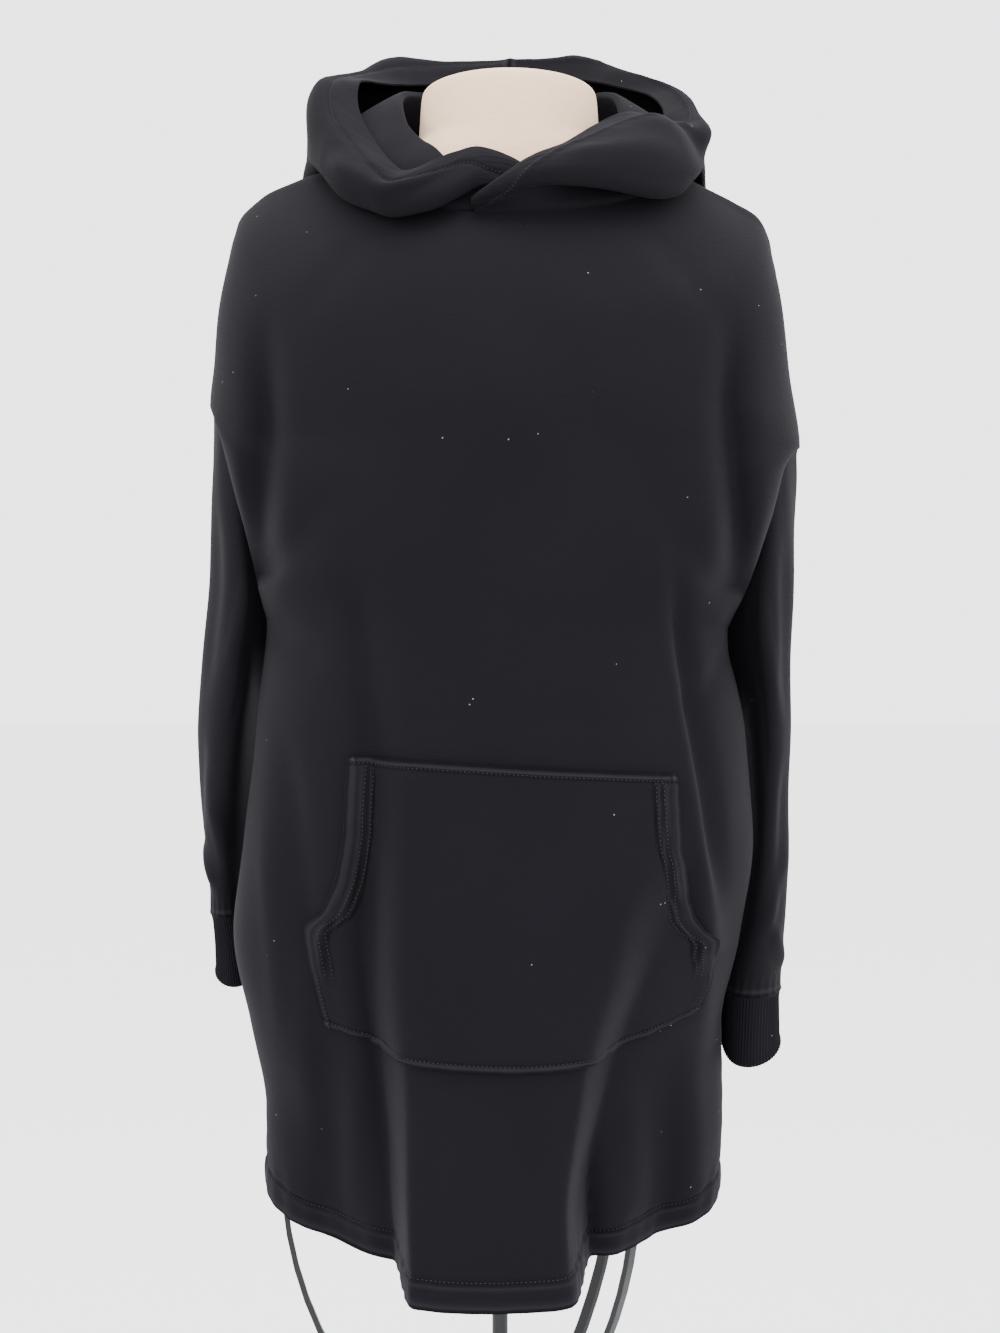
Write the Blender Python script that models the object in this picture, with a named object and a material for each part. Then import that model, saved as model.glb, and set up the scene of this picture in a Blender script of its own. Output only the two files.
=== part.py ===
"""Hoodie dress on a limbless dress form.

Metres, +Z up. The front faces -Y, and the origin is the centre of the base disc's underside.
Left and right in the names are the wearer's, so the wearer's right side is at -X.
"""
import math

import bmesh
import bpy
import numpy as np

# ---- driving sizes ------------------------------------------------------------------------------
CLOTH = 0.0020          # wall of the fleece
SEAM = 0.0003           # gap at a seam
TRIM = 0.0007           # how far each panel stops short of a shared seam line
FRONT_CELLS = 36        # cells across the front panel
FRONT_ROWS = (10, 16)   # rows above the armholes and below them
BACK_CELLS = 24
BACK_ROWS = (8, 9)
ARMHOLE_ROWS = 10       # rows along an armhole, half as many as the cells round a sleeve
SLEEVE_CELLS = 16       # cells along a sleeve
CUFF_CELLS = 3
HOOD_SIZE = (22, 15)    # cells along a hood panel and from its seam to its edge
HOOD_FINE = 80          # steps of the finer curves those cells are taken from
FINE_CELLS = 90         # cells across the finer surface that the hood and the form rest on
FINE_ROWS = (30, 20)
NECK_CENTRE = (0.008, -0.030)

BLACK_FLEECE = ((0.012, 0.012, 0.016), 0.92, 0.0)
LINEN = ((0.78, 0.68, 0.55), 0.85, 0.0)
BLACK_METAL = ((0.02, 0.02, 0.022), 0.42, 0.9)

# ---- body of the dress: one row for each level ring, from the neckline down to the hem ----------
# The ring passes the side points (right_x and left_x at side_y) and the middle of front and back.
# round_front and round_back are the powers of the two half ovals.
RING_COLUMNS = ("level", "right_x", "left_x", "side_y", "right_z", "left_z", "front_y", "front_z",
                "round_front", "back_y", "back_z", "round_back")
RINGS = (
    (0.00, -0.127, 0.143, -0.030, 1.410, 1.408, -0.140, 1.345, 2.0, 0.075, 1.418, 2.0),
    (0.06, -0.158, 0.160, -0.028, 1.403, 1.399, -0.160, 1.318, 2.1, 0.092, 1.395, 2.1),
    (0.12, -0.195, 0.192, -0.025, 1.387, 1.383, -0.176, 1.285, 2.2, 0.106, 1.365, 2.2),
    (0.18, -0.214, 0.216, -0.022, 1.369, 1.367, -0.186, 1.255, 2.3, 0.113, 1.335, 2.3),
    (0.24, -0.228, 0.227, -0.020, 1.306, 1.325, -0.193, 1.225, 2.3, 0.117, 1.300, 2.3),
    (0.30, -0.233, 0.236, -0.020, 1.256, 1.244, -0.198, 1.195, 2.3, 0.118, 1.260, 2.3),
    (0.34, -0.236, 0.2445, -0.020, 1.222, 1.180, -0.200, 1.165, 2.3, 0.117, 1.220, 2.3),
    (0.48, -0.190, 0.186, -0.022, 1.040, 1.030, -0.206, 1.035, 2.3, 0.108, 1.030, 2.1),
    (0.57, -0.197, 0.197, -0.036, 0.950, 0.945, -0.211, 0.950, 2.3, 0.112, 0.945, 2.0),
    (0.65, -0.204, 0.203, -0.042, 0.870, 0.865, -0.207, 0.868, 2.3, 0.126, 0.870, 1.8),
    (0.74, -0.213, 0.193, -0.044, 0.790, 0.785, -0.195, 0.785, 2.2, 0.138, 0.790, 1.8),
    (0.82, -0.202, 0.179, -0.042, 0.718, 0.715, -0.180, 0.700, 2.1, 0.146, 0.715, 1.9),
    (0.91, -0.189, 0.180, -0.040, 0.650, 0.645, -0.166, 0.622, 2.0, 0.150, 0.640, 2.0),
    (1.00, -0.189, 0.177, -0.040, 0.585, 0.580, -0.156, 0.547, 2.0, 0.152, 0.575, 2.0),
)
CORNER_LEVEL = 0.34     # top of the armhole, where the dropped shoulder seam ends
UNDERARM_LEVEL = 0.48
SEAM_LOOK = 0.02        # how far along a side seam its direction is taken

# ---- armhole seam from its top (0) round the front to the underarm (1): right and left ----------
ARMHOLE_COLUMNS = ("along", "right_x", "left_x", "front_y", "back_y", "right_z", "left_z")
ARMHOLE = (
    (0.00, -0.236, 0.2445, -0.020, -0.020, 1.222, 1.180),
    (0.28, -0.2235, 0.2270, -0.066, 0.036, 1.2020, 1.168),
    (0.52, -0.208, 0.2130, -0.082, 0.062, 1.150, 1.118),
    (0.78, -0.196, 0.1980, -0.066, 0.050, 1.085, 1.068),
    (1.00, -0.190, 0.1860, -0.022, -0.022, 1.040, 1.030),
)

# ---- folds of the body: a soft ridge (+) or trough (-) along a line from top to bottom -----------
FOLD_FADE = 0.014       # a fold ends over this height, where the next one of its line begins
# columns: top_x, top_z, foot_x, foot_z, width, depth_top, depth_foot
FRONT_FOLDS = (
    (-0.103, 1.070, -0.086, 0.930, 0.020, 0.000, -0.008),
    (-0.086, 0.930, -0.092, 0.820, 0.016, -0.008, -0.018),
    (-0.092, 0.820, -0.077, 0.560, 0.015, -0.018, -0.004),
    (-0.135, 0.900, -0.128, 0.560, 0.026, 0.000, -0.016),
    (0.118, 1.090, 0.166, 0.790, 0.012, 0.000, 0.009),
    (0.190, 0.950, 0.178, 0.700, 0.013, 0.000, -0.010),
    (0.044, 0.720, 0.068, 0.545, 0.014, 0.000, -0.012),
    (0.120, 0.740, 0.124, 0.545, 0.024, 0.000, -0.026),
    (-0.182, 1.290, -0.176, 1.190, 0.013, 0.000, -0.020),
    (-0.176, 1.190, -0.186, 1.075, 0.014, -0.020, -0.030),
    (0.180, 1.290, 0.172, 1.200, 0.013, 0.000, -0.020),
    (0.172, 1.200, 0.184, 1.065, 0.014, -0.020, -0.030),
)
# the same columns
BACK_FOLDS = (
    (-0.110, 1.180, -0.120, 0.575, 0.024, 0.000, 0.028),
    (-0.055, 1.120, -0.060, 0.575, 0.022, 0.000, -0.024),
    (0.005, 1.200, 0.004, 0.575, 0.030, 0.000, 0.034),
    (0.070, 1.120, 0.066, 0.575, 0.022, 0.000, -0.022),
    (0.118, 1.180, 0.124, 0.575, 0.022, 0.000, 0.022),
)
# ---- the lobe that hangs straight down from the bust in the middle of the front -----------------
LOBE_COLUMNS = ("z", "right_x", "left_x", "softness", "depth")
LOBE = (
    (0.54, -0.069, 0.060, 0.010, 0.098),
    (0.61, -0.073, 0.056, 0.011, 0.084),
    (0.70, -0.079, 0.070, 0.014, 0.056),
    (0.80, -0.088, 0.100, 0.020, 0.030),
    (0.88, -0.090, 0.130, 0.028, 0.010),
    (0.96, -0.090, 0.140, 0.030, 0.000),
)

# ---- sleeves: oval sections through a front, outer, back and inner point -------------------------
SLEEVE_COLUMNS = ("z", "front_x", "front_y", "back_x", "back_y", "outer_x", "inner_x")
RIGHT_SLEEVE = (
    (1.20, -0.210, -0.080, -0.205, 0.066, -0.2385, -0.180),
    (1.08, -0.205, -0.080, -0.204, 0.070, -0.2405, -0.194),
    (1.00, -0.211, -0.074, -0.204, 0.074, -0.2475, -0.201),
    (0.94, -0.219, -0.066, -0.205, 0.078, -0.2505, -0.206),
    (0.87, -0.226, -0.050, -0.204, 0.086, -0.2475, -0.2065),
    (0.81, -0.228, -0.026, -0.204, 0.092, -0.2420, -0.2080),
    (0.76, -0.224, -0.012, -0.208, 0.074, -0.2400, -0.2050),
    (0.70, -0.217, -0.012, -0.216, 0.066, -0.2400, -0.2000),
)
LEFT_SLEEVE = (
    (1.20, 0.216, -0.082, 0.206, 0.062, 0.2445, 0.180),
    (1.08, 0.211, -0.080, 0.204, 0.066, 0.2425, 0.191),
    (1.00, 0.214, -0.072, 0.203, 0.070, 0.2405, 0.199),
    (0.94, 0.217, -0.066, 0.202, 0.072, 0.2390, 0.2045),
    (0.87, 0.216, -0.062, 0.199, 0.072, 0.2370, 0.2045),
    (0.80, 0.212, -0.058, 0.197, 0.070, 0.2365, 0.1960),
    (0.73, 0.203, -0.052, 0.205, 0.048, 0.2330, 0.1850),
    (0.66, 0.200, -0.052, 0.206, 0.040, 0.2340, 0.1850),
)
SLEEVE_DROP = (0.0014, 0.0040)   # how far a sleeve's top edge lies under the armhole, least and extra
SLEEVE_OUT = 0.0040     # and out of it, at the underarm
SLEEVE_BLEND = 0.30     # share of a sleeve's length where the armhole's line turns into its oval
CUFF_SEAM_Z = {"right": 0.7930, "left": 0.7320}
CUFF_RIM_Z = {"right": 0.7480, "left": 0.6900}
CUFF_STEP = 0.0015      # how far the cuff draws in from the sleeve
CUFF_TILT = 0.014       # how much lower the front of a cuff's rim hangs

# ---- hood: sections round the neck, from the front crossing to the middle of the back ------------
# angle is measured at the neck's centre from the front (0) to the back (180); r and z are the
# distance from that centre and the height of a section's points: the rim of the stand that rises
# from the seam, the turn beside it, the low and outer points of the roll, its crest and its edge.
HOOD_POINTS = ("rim", "turn", "low", "out", "crest", "edge")
HOOD_COLUMNS = ("angle", "rim_r", "rim_z", "turn_r", "turn_z", "low_r", "low_z", "out_r", "out_z",
                "crest_r", "crest_z", "edge_r", "edge_z")
RIGHT_HOOD = (
    (-3, 0.1070, 1.361, 0.1080, 1.365, 0.1080, 1.370, 0.1065, 1.376, 0.1030, 1.386, 0.0960, 1.394),
    (8, 0.1070, 1.362, 0.1090, 1.366, 0.1095, 1.371, 0.1080, 1.378, 0.1040, 1.389, 0.0960, 1.398),
    (17, 0.1060, 1.367, 0.1110, 1.369, 0.1140, 1.370, 0.1140, 1.378, 0.1070, 1.391, 0.0960, 1.400),
    (26, 0.1000, 1.380, 0.1120, 1.378, 0.1270, 1.358, 0.1350, 1.365, 0.1290, 1.376, 0.1150, 1.390),
    (36, 0.0960, 1.398, 0.1160, 1.386, 0.1450, 1.347, 0.1550, 1.355, 0.1490, 1.367, 0.1330, 1.376),
    (46, 0.0930, 1.408, 0.1220, 1.388, 0.1480, 1.348, 0.1600, 1.360, 0.1500, 1.384, 0.1290, 1.389),
    (60, 0.0910, 1.422, 0.1300, 1.398, 0.1500, 1.364, 0.1620, 1.378, 0.1480, 1.409, 0.1240, 1.413),
    (78, 0.0890, 1.440, 0.1340, 1.418, 0.1540, 1.396, 0.1640, 1.408, 0.1530, 1.447, 0.1260, 1.452),
    (92, 0.0880, 1.446, 0.1360, 1.434, 0.1580, 1.412, 0.1680, 1.424, 0.1550, 1.483, 0.1230, 1.482),
    (112, 0.0880, 1.447, 0.1380, 1.436, 0.1720, 1.398, 0.1920, 1.412, 0.1370, 1.506, 0.1080, 1.490),
    (135, 0.0890, 1.441, 0.1300, 1.437, 0.1800, 1.345, 0.2120, 1.352, 0.1290, 1.530, 0.1020, 1.500),
    (158, 0.0900, 1.437, 0.1240, 1.436, 0.1720, 1.262, 0.2180, 1.285, 0.1180, 1.533, 0.0950, 1.508),
    (180, 0.0900, 1.435, 0.1220, 1.435, 0.1680, 1.218, 0.2160, 1.258, 0.1090, 1.535, 0.0900, 1.512),
)
LEFT_HOOD = (
    (-14, 0.1215, 1.353, 0.1245, 1.355, 0.1270, 1.359, 0.1285, 1.364, 0.1270, 1.369, 0.1230, 1.372),
    (-3, 0.1205, 1.356, 0.1240, 1.358, 0.1280, 1.362, 0.1310, 1.370, 0.1250, 1.380, 0.1160, 1.384),
    (9, 0.1170, 1.360, 0.1200, 1.364, 0.1290, 1.365, 0.1350, 1.375, 0.1190, 1.390, 0.1060, 1.394),
    (26, 0.1080, 1.373, 0.1210, 1.373, 0.1370, 1.362, 0.1450, 1.375, 0.1190, 1.401, 0.0980, 1.406),
    (45, 0.1000, 1.394, 0.1240, 1.388, 0.1460, 1.359, 0.1570, 1.375, 0.1260, 1.418, 0.0970, 1.426),
    (62, 0.0950, 1.414, 0.1300, 1.401, 0.1470, 1.368, 0.1600, 1.386, 0.1400, 1.430, 0.1110, 1.440),
    (76, 0.0910, 1.432, 0.1330, 1.416, 0.1500, 1.390, 0.1610, 1.404, 0.1520, 1.434, 0.1230, 1.449),
    (90, 0.0890, 1.444, 0.1360, 1.432, 0.1570, 1.410, 0.1660, 1.424, 0.1580, 1.461, 0.1260, 1.464),
    (106, 0.0880, 1.446, 0.1380, 1.436, 0.1690, 1.400, 0.1840, 1.416, 0.1510, 1.491, 0.1200, 1.482),
    (126, 0.0890, 1.443, 0.1320, 1.437, 0.1800, 1.366, 0.2060, 1.376, 0.1270, 1.512, 0.1040, 1.495),
    (152, 0.0900, 1.437, 0.1250, 1.436, 0.1740, 1.272, 0.2170, 1.292, 0.1140, 1.535, 0.0940, 1.510),
    (180, 0.0900, 1.435, 0.1220, 1.435, 0.1680, 1.218, 0.2160, 1.258, 0.1090, 1.535, 0.0900, 1.512),
)
HOOD_FOOT = CLOTH / 2 + SEAM + 0.0017   # the hood's seam edge over the panels' middle surface
HOOD_RISE = 0.0080      # and how far it rises along the panels' normal before it leans in
HOOD_STAND_STEPS = (0, 1, 1.5, 2, 3)    # rows up the stand and over its rim, in points passed
RIM_OVER = (0.0035, 0.0055)    # the rim's second point, out from and above its first
RIM_FOLD = 0.0120       # where the turn is this far out, the rim is folded over in full
TURN_LIFT = 0.0040
HOOD_OUTSET = 0.0012    # how far outside the neckline's line it stands
HOOD_CLEAR = CLOTH + 0.0040      # least distance of a hood's middle surface from the panels' one
REST_PASSES = 2
CROSS_STEP = 0.0080     # how far the under layer of the crossing sits behind the upper one
CROSS_ANGLES = (14, 24)          # where that step ends

# ---- pocket: its side edges on the front, from the top (0) to the bottom corners (1) --------------
POCKET_COLUMNS = ("down", "right_x", "left_x", "right_z", "left_z")
POCKET = (
    (0.00, -0.110, 0.128, 0.934, 0.920),
    (0.22, -0.112, 0.128, 0.884, 0.878),
    (0.40, -0.118, 0.133, 0.848, 0.842),
    (0.52, -0.128, 0.142, 0.822, 0.812),
    (0.60, -0.141, 0.160, 0.806, 0.790),
    (0.80, -0.139, 0.160, 0.772, 0.756),
    (1.00, -0.131, 0.151, 0.738, 0.728),
)
POCKET_SAG = 0.022      # how far the lowest point of the lower edge hangs under its corners
POCKET_SAG_AT = 0.42    # and its place between them, from the right
POCKET_SAG_POWER = 2.4
POCKET_LIFT = CLOTH + 0.0005
POCKET_BAND = (0.60, 1.02)       # heights of the panel that the pocket is cut from
POCKET_REACH = (-0.5, 0.0)       # the outline's prism from front to back
REST_REACH = 0.080      # how deep a point may lie in the body before it is left alone

# ---- the form under the cloth --------------------------------------------------------------------
TORSO_CELLS = 32
TORSO_CLEAR = CLOTH / 2 + 0.0008
# columns: radius, z, round FORM_NECK
NECK_RINGS = ((0.0620, 1.472), (0.0710, 1.468), (0.0735, 1.440), (0.0745, 1.425))
FORM_NECK = (0.0075, -0.030)
# columns: level of the cloth that the shoulders fill, share of its width
SHOULDER_RINGS = ((0.020, 0.930), (0.060, 0.960), (0.100, 0.980), (0.135, 0.985))
SHOULDER_DEPTH = 0.9
# columns: z, half_x, front_y, back_y, roundness
TORSO_RINGS = (
    (1.335, 0.1900, -0.100, 0.066, 2.3),
    (1.280, 0.1700, -0.134, 0.082, 2.3),
    (1.180, 0.1580, -0.176, 0.092, 2.2),
    (1.080, 0.1430, -0.150, 0.084, 2.2),
    (0.980, 0.1350, -0.118, 0.076, 2.1),
    (0.880, 0.1520, -0.118, 0.084, 2.1),
    (0.800, 0.1600, -0.116, 0.088, 2.1),
    (0.752, 0.1560, -0.108, 0.084, 2.1),
)
PLATE = (0.166, -0.106, 0.104, 2.1)      # half_x, front_y, back_y, roundness
PLATE_TOP_Z = 0.7517
PLATE_FOOT_Z = 0.740
POLE_RADIUS = 0.0065
COLLAR_RADIUS = 0.0160
COLLAR_TOP_Z = 0.318
COLLAR_FOOT_Z = 0.270
BASE_HEIGHT = 0.012
BASE_PROFILE = ((0.030, BASE_HEIGHT), (0.176, 0.009), (0.180, 0.005), (0.180, 0.0))
# ---- three flat bars bent from the plate down to the collar; FEET is where each one bulges most ---
RIB_FEET = ((-0.1785, -0.0280), (0.1085, -0.0760), (0.1055, 0.0970))
RIB_WIDTH = 0.0100
RIB_THICKNESS = 0.0045
RIB_TOP = ((0.020, PLATE_FOOT_Z - 0.0008), (0.010, 0.690), (0.002, 0.630))   # distance inside, z
RIB_BEND_TOP_Z = 0.590
RIB_BEND_RADIUS = 0.330
RIB_BEND_CELLS = 12


# ---- small helpers ---------------------------------------------------------------------------------
def column(table, columns, name):
    return np.array([row[columns.index(name)] for row in table], float)


def smooth(keys, values, at):
    """Monotone cubic through the rows of a table."""
    keys, values, at = np.asarray(keys, float), np.asarray(values, float), np.asarray(at, float)
    if keys[0] > keys[-1]:
        keys, values = keys[::-1], values[::-1]
    steps, rises = np.diff(keys), np.diff(values)
    slopes = rises / steps
    tangents = np.zeros_like(values)
    for i in range(1, len(values) - 1):
        if slopes[i - 1] * slopes[i] > 0:
            heavy, light = 2 * steps[i] + steps[i - 1], steps[i] + 2 * steps[i - 1]
            tangents[i] = (heavy + light) / (heavy / slopes[i - 1] + light / slopes[i])
    tangents[0], tangents[-1] = slopes[0], slopes[-1]
    at = np.clip(at, keys[0], keys[-1])
    cell = np.clip(np.searchsorted(keys, at, side="right") - 1, 0, len(steps) - 1)
    t = (at - keys[cell]) / steps[cell]
    return (values[cell] * (1 + 2 * t) * (1 - t) ** 2 + tangents[cell] * steps[cell] * t * (1 - t) ** 2
            + values[cell + 1] * t * t * (3 - 2 * t) + tangents[cell + 1] * steps[cell] * t * t * (t - 1))


def look_up(table, columns, name, at):
    return smooth(column(table, columns, columns[0]), column(table, columns, name), at)


def ease(t):
    t = np.clip(t, 0.0, 1.0)
    return t * t * (3 - 2 * t)


def unit(vectors):
    return vectors / np.maximum(np.linalg.norm(vectors, axis=-1, keepdims=True), 1e-12)


def resample(points, count):
    """The same curve with count + 1 points, evenly spaced along it."""
    lengths = np.concatenate([[0], np.cumsum(np.linalg.norm(np.diff(points, axis=0), axis=1))])
    at = np.linspace(0, lengths[-1], count + 1)
    return np.stack([np.interp(at, lengths, points[:, k]) for k in range(3)], axis=1)


def grid_normals(grid, closed=False):
    """Normals of a grid of points, pointing to the left of its columns' direction."""
    if closed:
        along = np.roll(grid, -1, axis=1) - np.roll(grid, 1, axis=1)
    else:
        along = np.gradient(grid, axis=1)
    down = np.gradient(grid, axis=0)
    return unit(np.cross(down, along))


def add_object(name, vertices, faces, material, smooth_angle=40):
    mesh = bpy.data.meshes.new(name)
    mesh.from_pydata([tuple(v) for v in vertices], [], faces)
    work = bmesh.new()
    work.from_mesh(mesh)
    bmesh.ops.triangulate(work, faces=work.faces[:])
    bmesh.ops.recalc_face_normals(work, faces=work.faces[:])
    work.to_mesh(mesh)
    work.free()
    mesh.shade_smooth()
    mesh.set_sharp_from_angle(angle=math.radians(smooth_angle))
    thing = bpy.data.objects.new(name, mesh)
    bpy.context.scene.collection.objects.link(thing)
    colour, roughness, metallic = material
    paint = bpy.data.materials.new(name)
    paint.use_nodes = True
    shader = paint.node_tree.nodes["Principled BSDF"]
    shader.inputs["Base Color"].default_value = (*colour, 1)
    shader.inputs["Roughness"].default_value = roughness
    shader.inputs["Metallic"].default_value = metallic
    mesh.materials.append(paint)
    return thing


def wall(name, grid, normals, material, thickness=CLOTH, closed=False):
    """A closed wall round the middle surface given by a grid of points and its normals."""
    rows, cols = grid.shape[:2]
    outer = (grid + normals * thickness / 2).reshape(-1, 3)
    inner = (grid - normals * thickness / 2).reshape(-1, 3)
    count = rows * cols
    wrap = cols if closed else cols - 1
    faces = []
    for i in range(rows - 1):
        for j in range(wrap):
            a, b = i * cols + j, i * cols + (j + 1) % cols
            c, d = b + cols, a + cols
            faces.append((a, b, c, d))
            faces.append((count + d, count + c, count + b, count + a))
    for j in range(wrap):
        a, b = j, (j + 1) % cols
        faces.append((b, a, count + a, count + b))
        a, b = (rows - 1) * cols + j, (rows - 1) * cols + (j + 1) % cols
        faces.append((a, b, count + b, count + a))
    if not closed:
        for i in range(rows - 1):
            a, b = i * cols, (i + 1) * cols
            faces.append((a, b, count + b, count + a))
            a, b = i * cols + cols - 1, (i + 1) * cols + cols - 1
            faces.append((b, a, count + a, count + b))
    return add_object(name, np.concatenate([outer, inner]), faces, material)


def solid_of_rings(name, rings, material, smooth_angle=40):
    """A closed solid through a list of rings with equal point counts."""
    rings = np.asarray(rings)
    rows, cols = rings.shape[:2]
    faces = []
    for i in range(rows - 1):
        for j in range(cols):
            a, b = i * cols + j, i * cols + (j + 1) % cols
            faces.append((a, b, b + cols, a + cols))
    faces.append(tuple(range(cols))[::-1])
    faces.append(tuple((rows - 1) * cols + j for j in range(cols)))
    return add_object(name, rings.reshape(-1, 3), faces, material, smooth_angle)


# ---- body of the dress -----------------------------------------------------------------------------
def edge_point(level, side, face):
    """Where a level ring meets the shoulder seam, the armhole or the side seam."""
    def ring(name):
        return float(look_up(RINGS, RING_COLUMNS, name, level))

    if level <= CORNER_LEVEL or level >= UNDERARM_LEVEL:
        return np.array([ring(side + "_x"), ring("side_y"), ring(side + "_z")])
    along = (level - CORNER_LEVEL) / (UNDERARM_LEVEL - CORNER_LEVEL)
    names = (side + "_x", face + "_y", side + "_z")
    return np.array([float(look_up(ARMHOLE, ARMHOLE_COLUMNS, n, along)) for n in names])


def fold_shift(folds, x, z):
    """How far the folds move the cloth outwards at each point."""
    shift = np.zeros_like(x)
    for top_x, top_z, foot_x, foot_z, width, depth_top, depth_foot in folds:
        t = (top_z - z) / (top_z - foot_z)
        fade = FOLD_FADE / (top_z - foot_z)
        inside = ease((1 + fade - t) / fade)
        if depth_top:
            inside = inside * ease(t / fade)
        t = np.clip(t, 0, 1)
        middle = top_x + (foot_x - top_x) * t
        depth = depth_top + (depth_foot - depth_top) * ease(t)
        shift += depth * inside * np.exp(-((x - middle) / width) ** 2)
    return shift


def lobe_shift(x, z):
    def at(name):
        return look_up(LOBE, LOBE_COLUMNS, name, z)

    soft = at("softness")
    left = ease(0.5 + (at("left_x") - x) / (2 * soft))
    right = ease(0.5 + (x - at("right_x")) / (2 * soft))
    return at("depth") * left * right


def body_row(level, face, fine=240):
    """Half of a level ring, from the right side to the left side through the front or the back."""
    def ring(name):
        return float(look_up(RINGS, RING_COLUMNS, name, level))

    start, end = edge_point(level, "right", face), edge_point(level, "left", face)
    t = np.linspace(-math.pi / 2, math.pi / 2, fine + 1)
    power = 2 / ring("round_" + face)
    across = np.sign(np.sin(t)) * np.abs(np.sin(t)) ** power
    bulge = np.abs(np.cos(t)) ** power
    blend = (1 + across) / 2
    side_y = start[1] + (end[1] - start[1]) * blend
    side_z = start[2] + (end[2] - start[2]) * blend
    x = (start[0] + end[0]) / 2 + (end[0] - start[0]) / 2 * across
    y = side_y + (ring(face + "_y") - side_y) * bulge
    z = side_z + (ring(face + "_z") - side_z) * bulge
    away = -1 if face == "front" else 1
    free = ease(bulge / 0.35)
    if face == "front":
        y = y + away * (fold_shift(FRONT_FOLDS, x, z) + lobe_shift(x, z)) * free
    else:
        y = y + away * fold_shift(BACK_FOLDS, x, z) * free
    return np.stack([x, y, z], axis=1)


def body_levels(rows):
    """Levels down a panel: above the armholes, along them and below them."""
    return np.concatenate([np.linspace(0, CORNER_LEVEL, rows[0] + 1)[:-1],
                           np.linspace(CORNER_LEVEL, UNDERARM_LEVEL, ARMHOLE_ROWS + 1),
                           np.linspace(UNDERARM_LEVEL, 1, rows[1] + 1)[1:]])


def body_grid(face, cells, rows):
    """A panel's middle surface and its outward normals."""
    levels = body_levels(rows)
    grid = np.array([resample(body_row(v, face), cells) for v in levels])
    normals = grid_normals(grid) * (1 if face == "front" else -1)
    for side, edge, beside in (("right", 0, 1), ("left", -1, -2)):
        out = np.array([-1.0 if side == "right" else 1.0, 0, 0])
        for i, level in enumerate(levels):
            if CORNER_LEVEL < level < UNDERARM_LEVEL:
                normals[i, edge] = normals[i, beside]
                continue
            first, last = (0, CORNER_LEVEL) if level <= CORNER_LEVEL else (UNDERARM_LEVEL, 1)
            above = edge_point(max(level - SEAM_LOOK, first), side, face)
            below = edge_point(min(level + SEAM_LOOK, last), side, face)
            run = below - above
            normals[i, edge] = unit(np.cross(np.cross(run, out), run))
    return grid, normals


def trimmed(grid):
    """A panel's grid, its side columns drawn back from the seam."""
    out = grid.copy()
    out[:, 0] += unit(grid[:, 1] - grid[:, 0]) * TRIM
    out[:, -1] += unit(grid[:, -2] - grid[:, -1]) * TRIM
    return out


# ---- sleeves -----------------------------------------------------------------------------------------
def sleeve_section(table, z, turns, draw_in=0.0):
    """Points of the oval at each height z: turn 0 is the outer side, a quarter turn the front."""
    def at(name):
        return look_up(table, SLEEVE_COLUMNS, name, z)

    angle = 2 * math.pi * turns
    middle_x, half_x = (at("outer_x") + at("inner_x")) / 2, (at("outer_x") - at("inner_x")) / 2
    middle_y, half_y = (at("front_y") + at("back_y")) / 2, (at("front_y") - at("back_y")) / 2
    lean = (at("front_x") - at("back_x")) / 2
    offset = (at("front_x") + at("back_x")) / 2 - middle_x
    half_x = half_x - np.sign(half_x) * draw_in
    half_y = half_y + draw_in
    x = middle_x + half_x * np.cos(angle) + lean * np.sin(angle) + offset * np.sin(angle) ** 2
    y = middle_y + half_y * np.sin(angle)
    return np.stack([x, y, z + 0 * angle], axis=-1)


def armhole_point(side, turn):
    """A point of the armhole seam: turn 0 at its top, a half turn at the underarm, front first."""
    face = "front" if turn <= 0.5 else "back"
    along = 2 * turn if turn <= 0.5 else 2 * (1 - turn)
    names = (side + "_x", face + "_y", side + "_z")
    return np.array([float(look_up(ARMHOLE, ARMHOLE_COLUMNS, n, along)) for n in names])


def sleeve_turns():
    return np.arange(2 * ARMHOLE_ROWS) / (2 * ARMHOLE_ROWS)


def sleeve_grid(side, table):
    turns = sleeve_turns()
    top = np.array([armhole_point(side, t) for t in turns])
    out = 1 if side == "left" else -1
    under = ease((0.5 - np.abs(turns - 0.5)) / 0.5)
    top[:, 2] -= SLEEVE_DROP[0] + SLEEVE_DROP[1] * np.sin(np.pi * under)
    top[:, 0] += out * SLEEVE_OUT * under
    rows = []
    for k in range(SLEEVE_CELLS + 1):
        w = k / SLEEVE_CELLS
        z = top[:, 2] + (CUFF_SEAM_Z[side] + SEAM - top[:, 2]) * w
        section = sleeve_section(table, z, turns)
        rows.append(section + (top - section) * np.array([1, 1, 0]) * (1 - ease(w / SLEEVE_BLEND)))
    return np.array(rows)


def cuff_grid(side, table):
    turns = sleeve_turns()
    rows = []
    for k in range(CUFF_CELLS + 1):
        w = k / CUFF_CELLS
        z = CUFF_SEAM_Z[side] - SEAM + (CUFF_RIM_Z[side] - CUFF_SEAM_Z[side]) * w
        tilt = CUFF_TILT * w * np.sin(2 * math.pi * turns)
        rows.append(sleeve_section(table, z - tilt, turns, CUFF_STEP))
    return np.array(rows)


# ---- hood -----------------------------------------------------------------------------------------------
def neckline_point(angle):
    """The point of the neckline seam at an angle measured from the front."""
    face = "front" if abs(angle) <= 90 else "back"
    row = body_row(0.0, face)
    around = np.degrees(np.arctan2(row[:, 0] - NECK_CENTRE[0], -(row[:, 1] - NECK_CENTRE[1])))
    if face == "back":
        around = np.where(around < 0, around + 360, around)
        angle = angle + 360 if angle < 0 else angle
    order = np.argsort(around)
    return np.array([np.interp(angle, around[order], row[order, k]) for k in range(3)])


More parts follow.
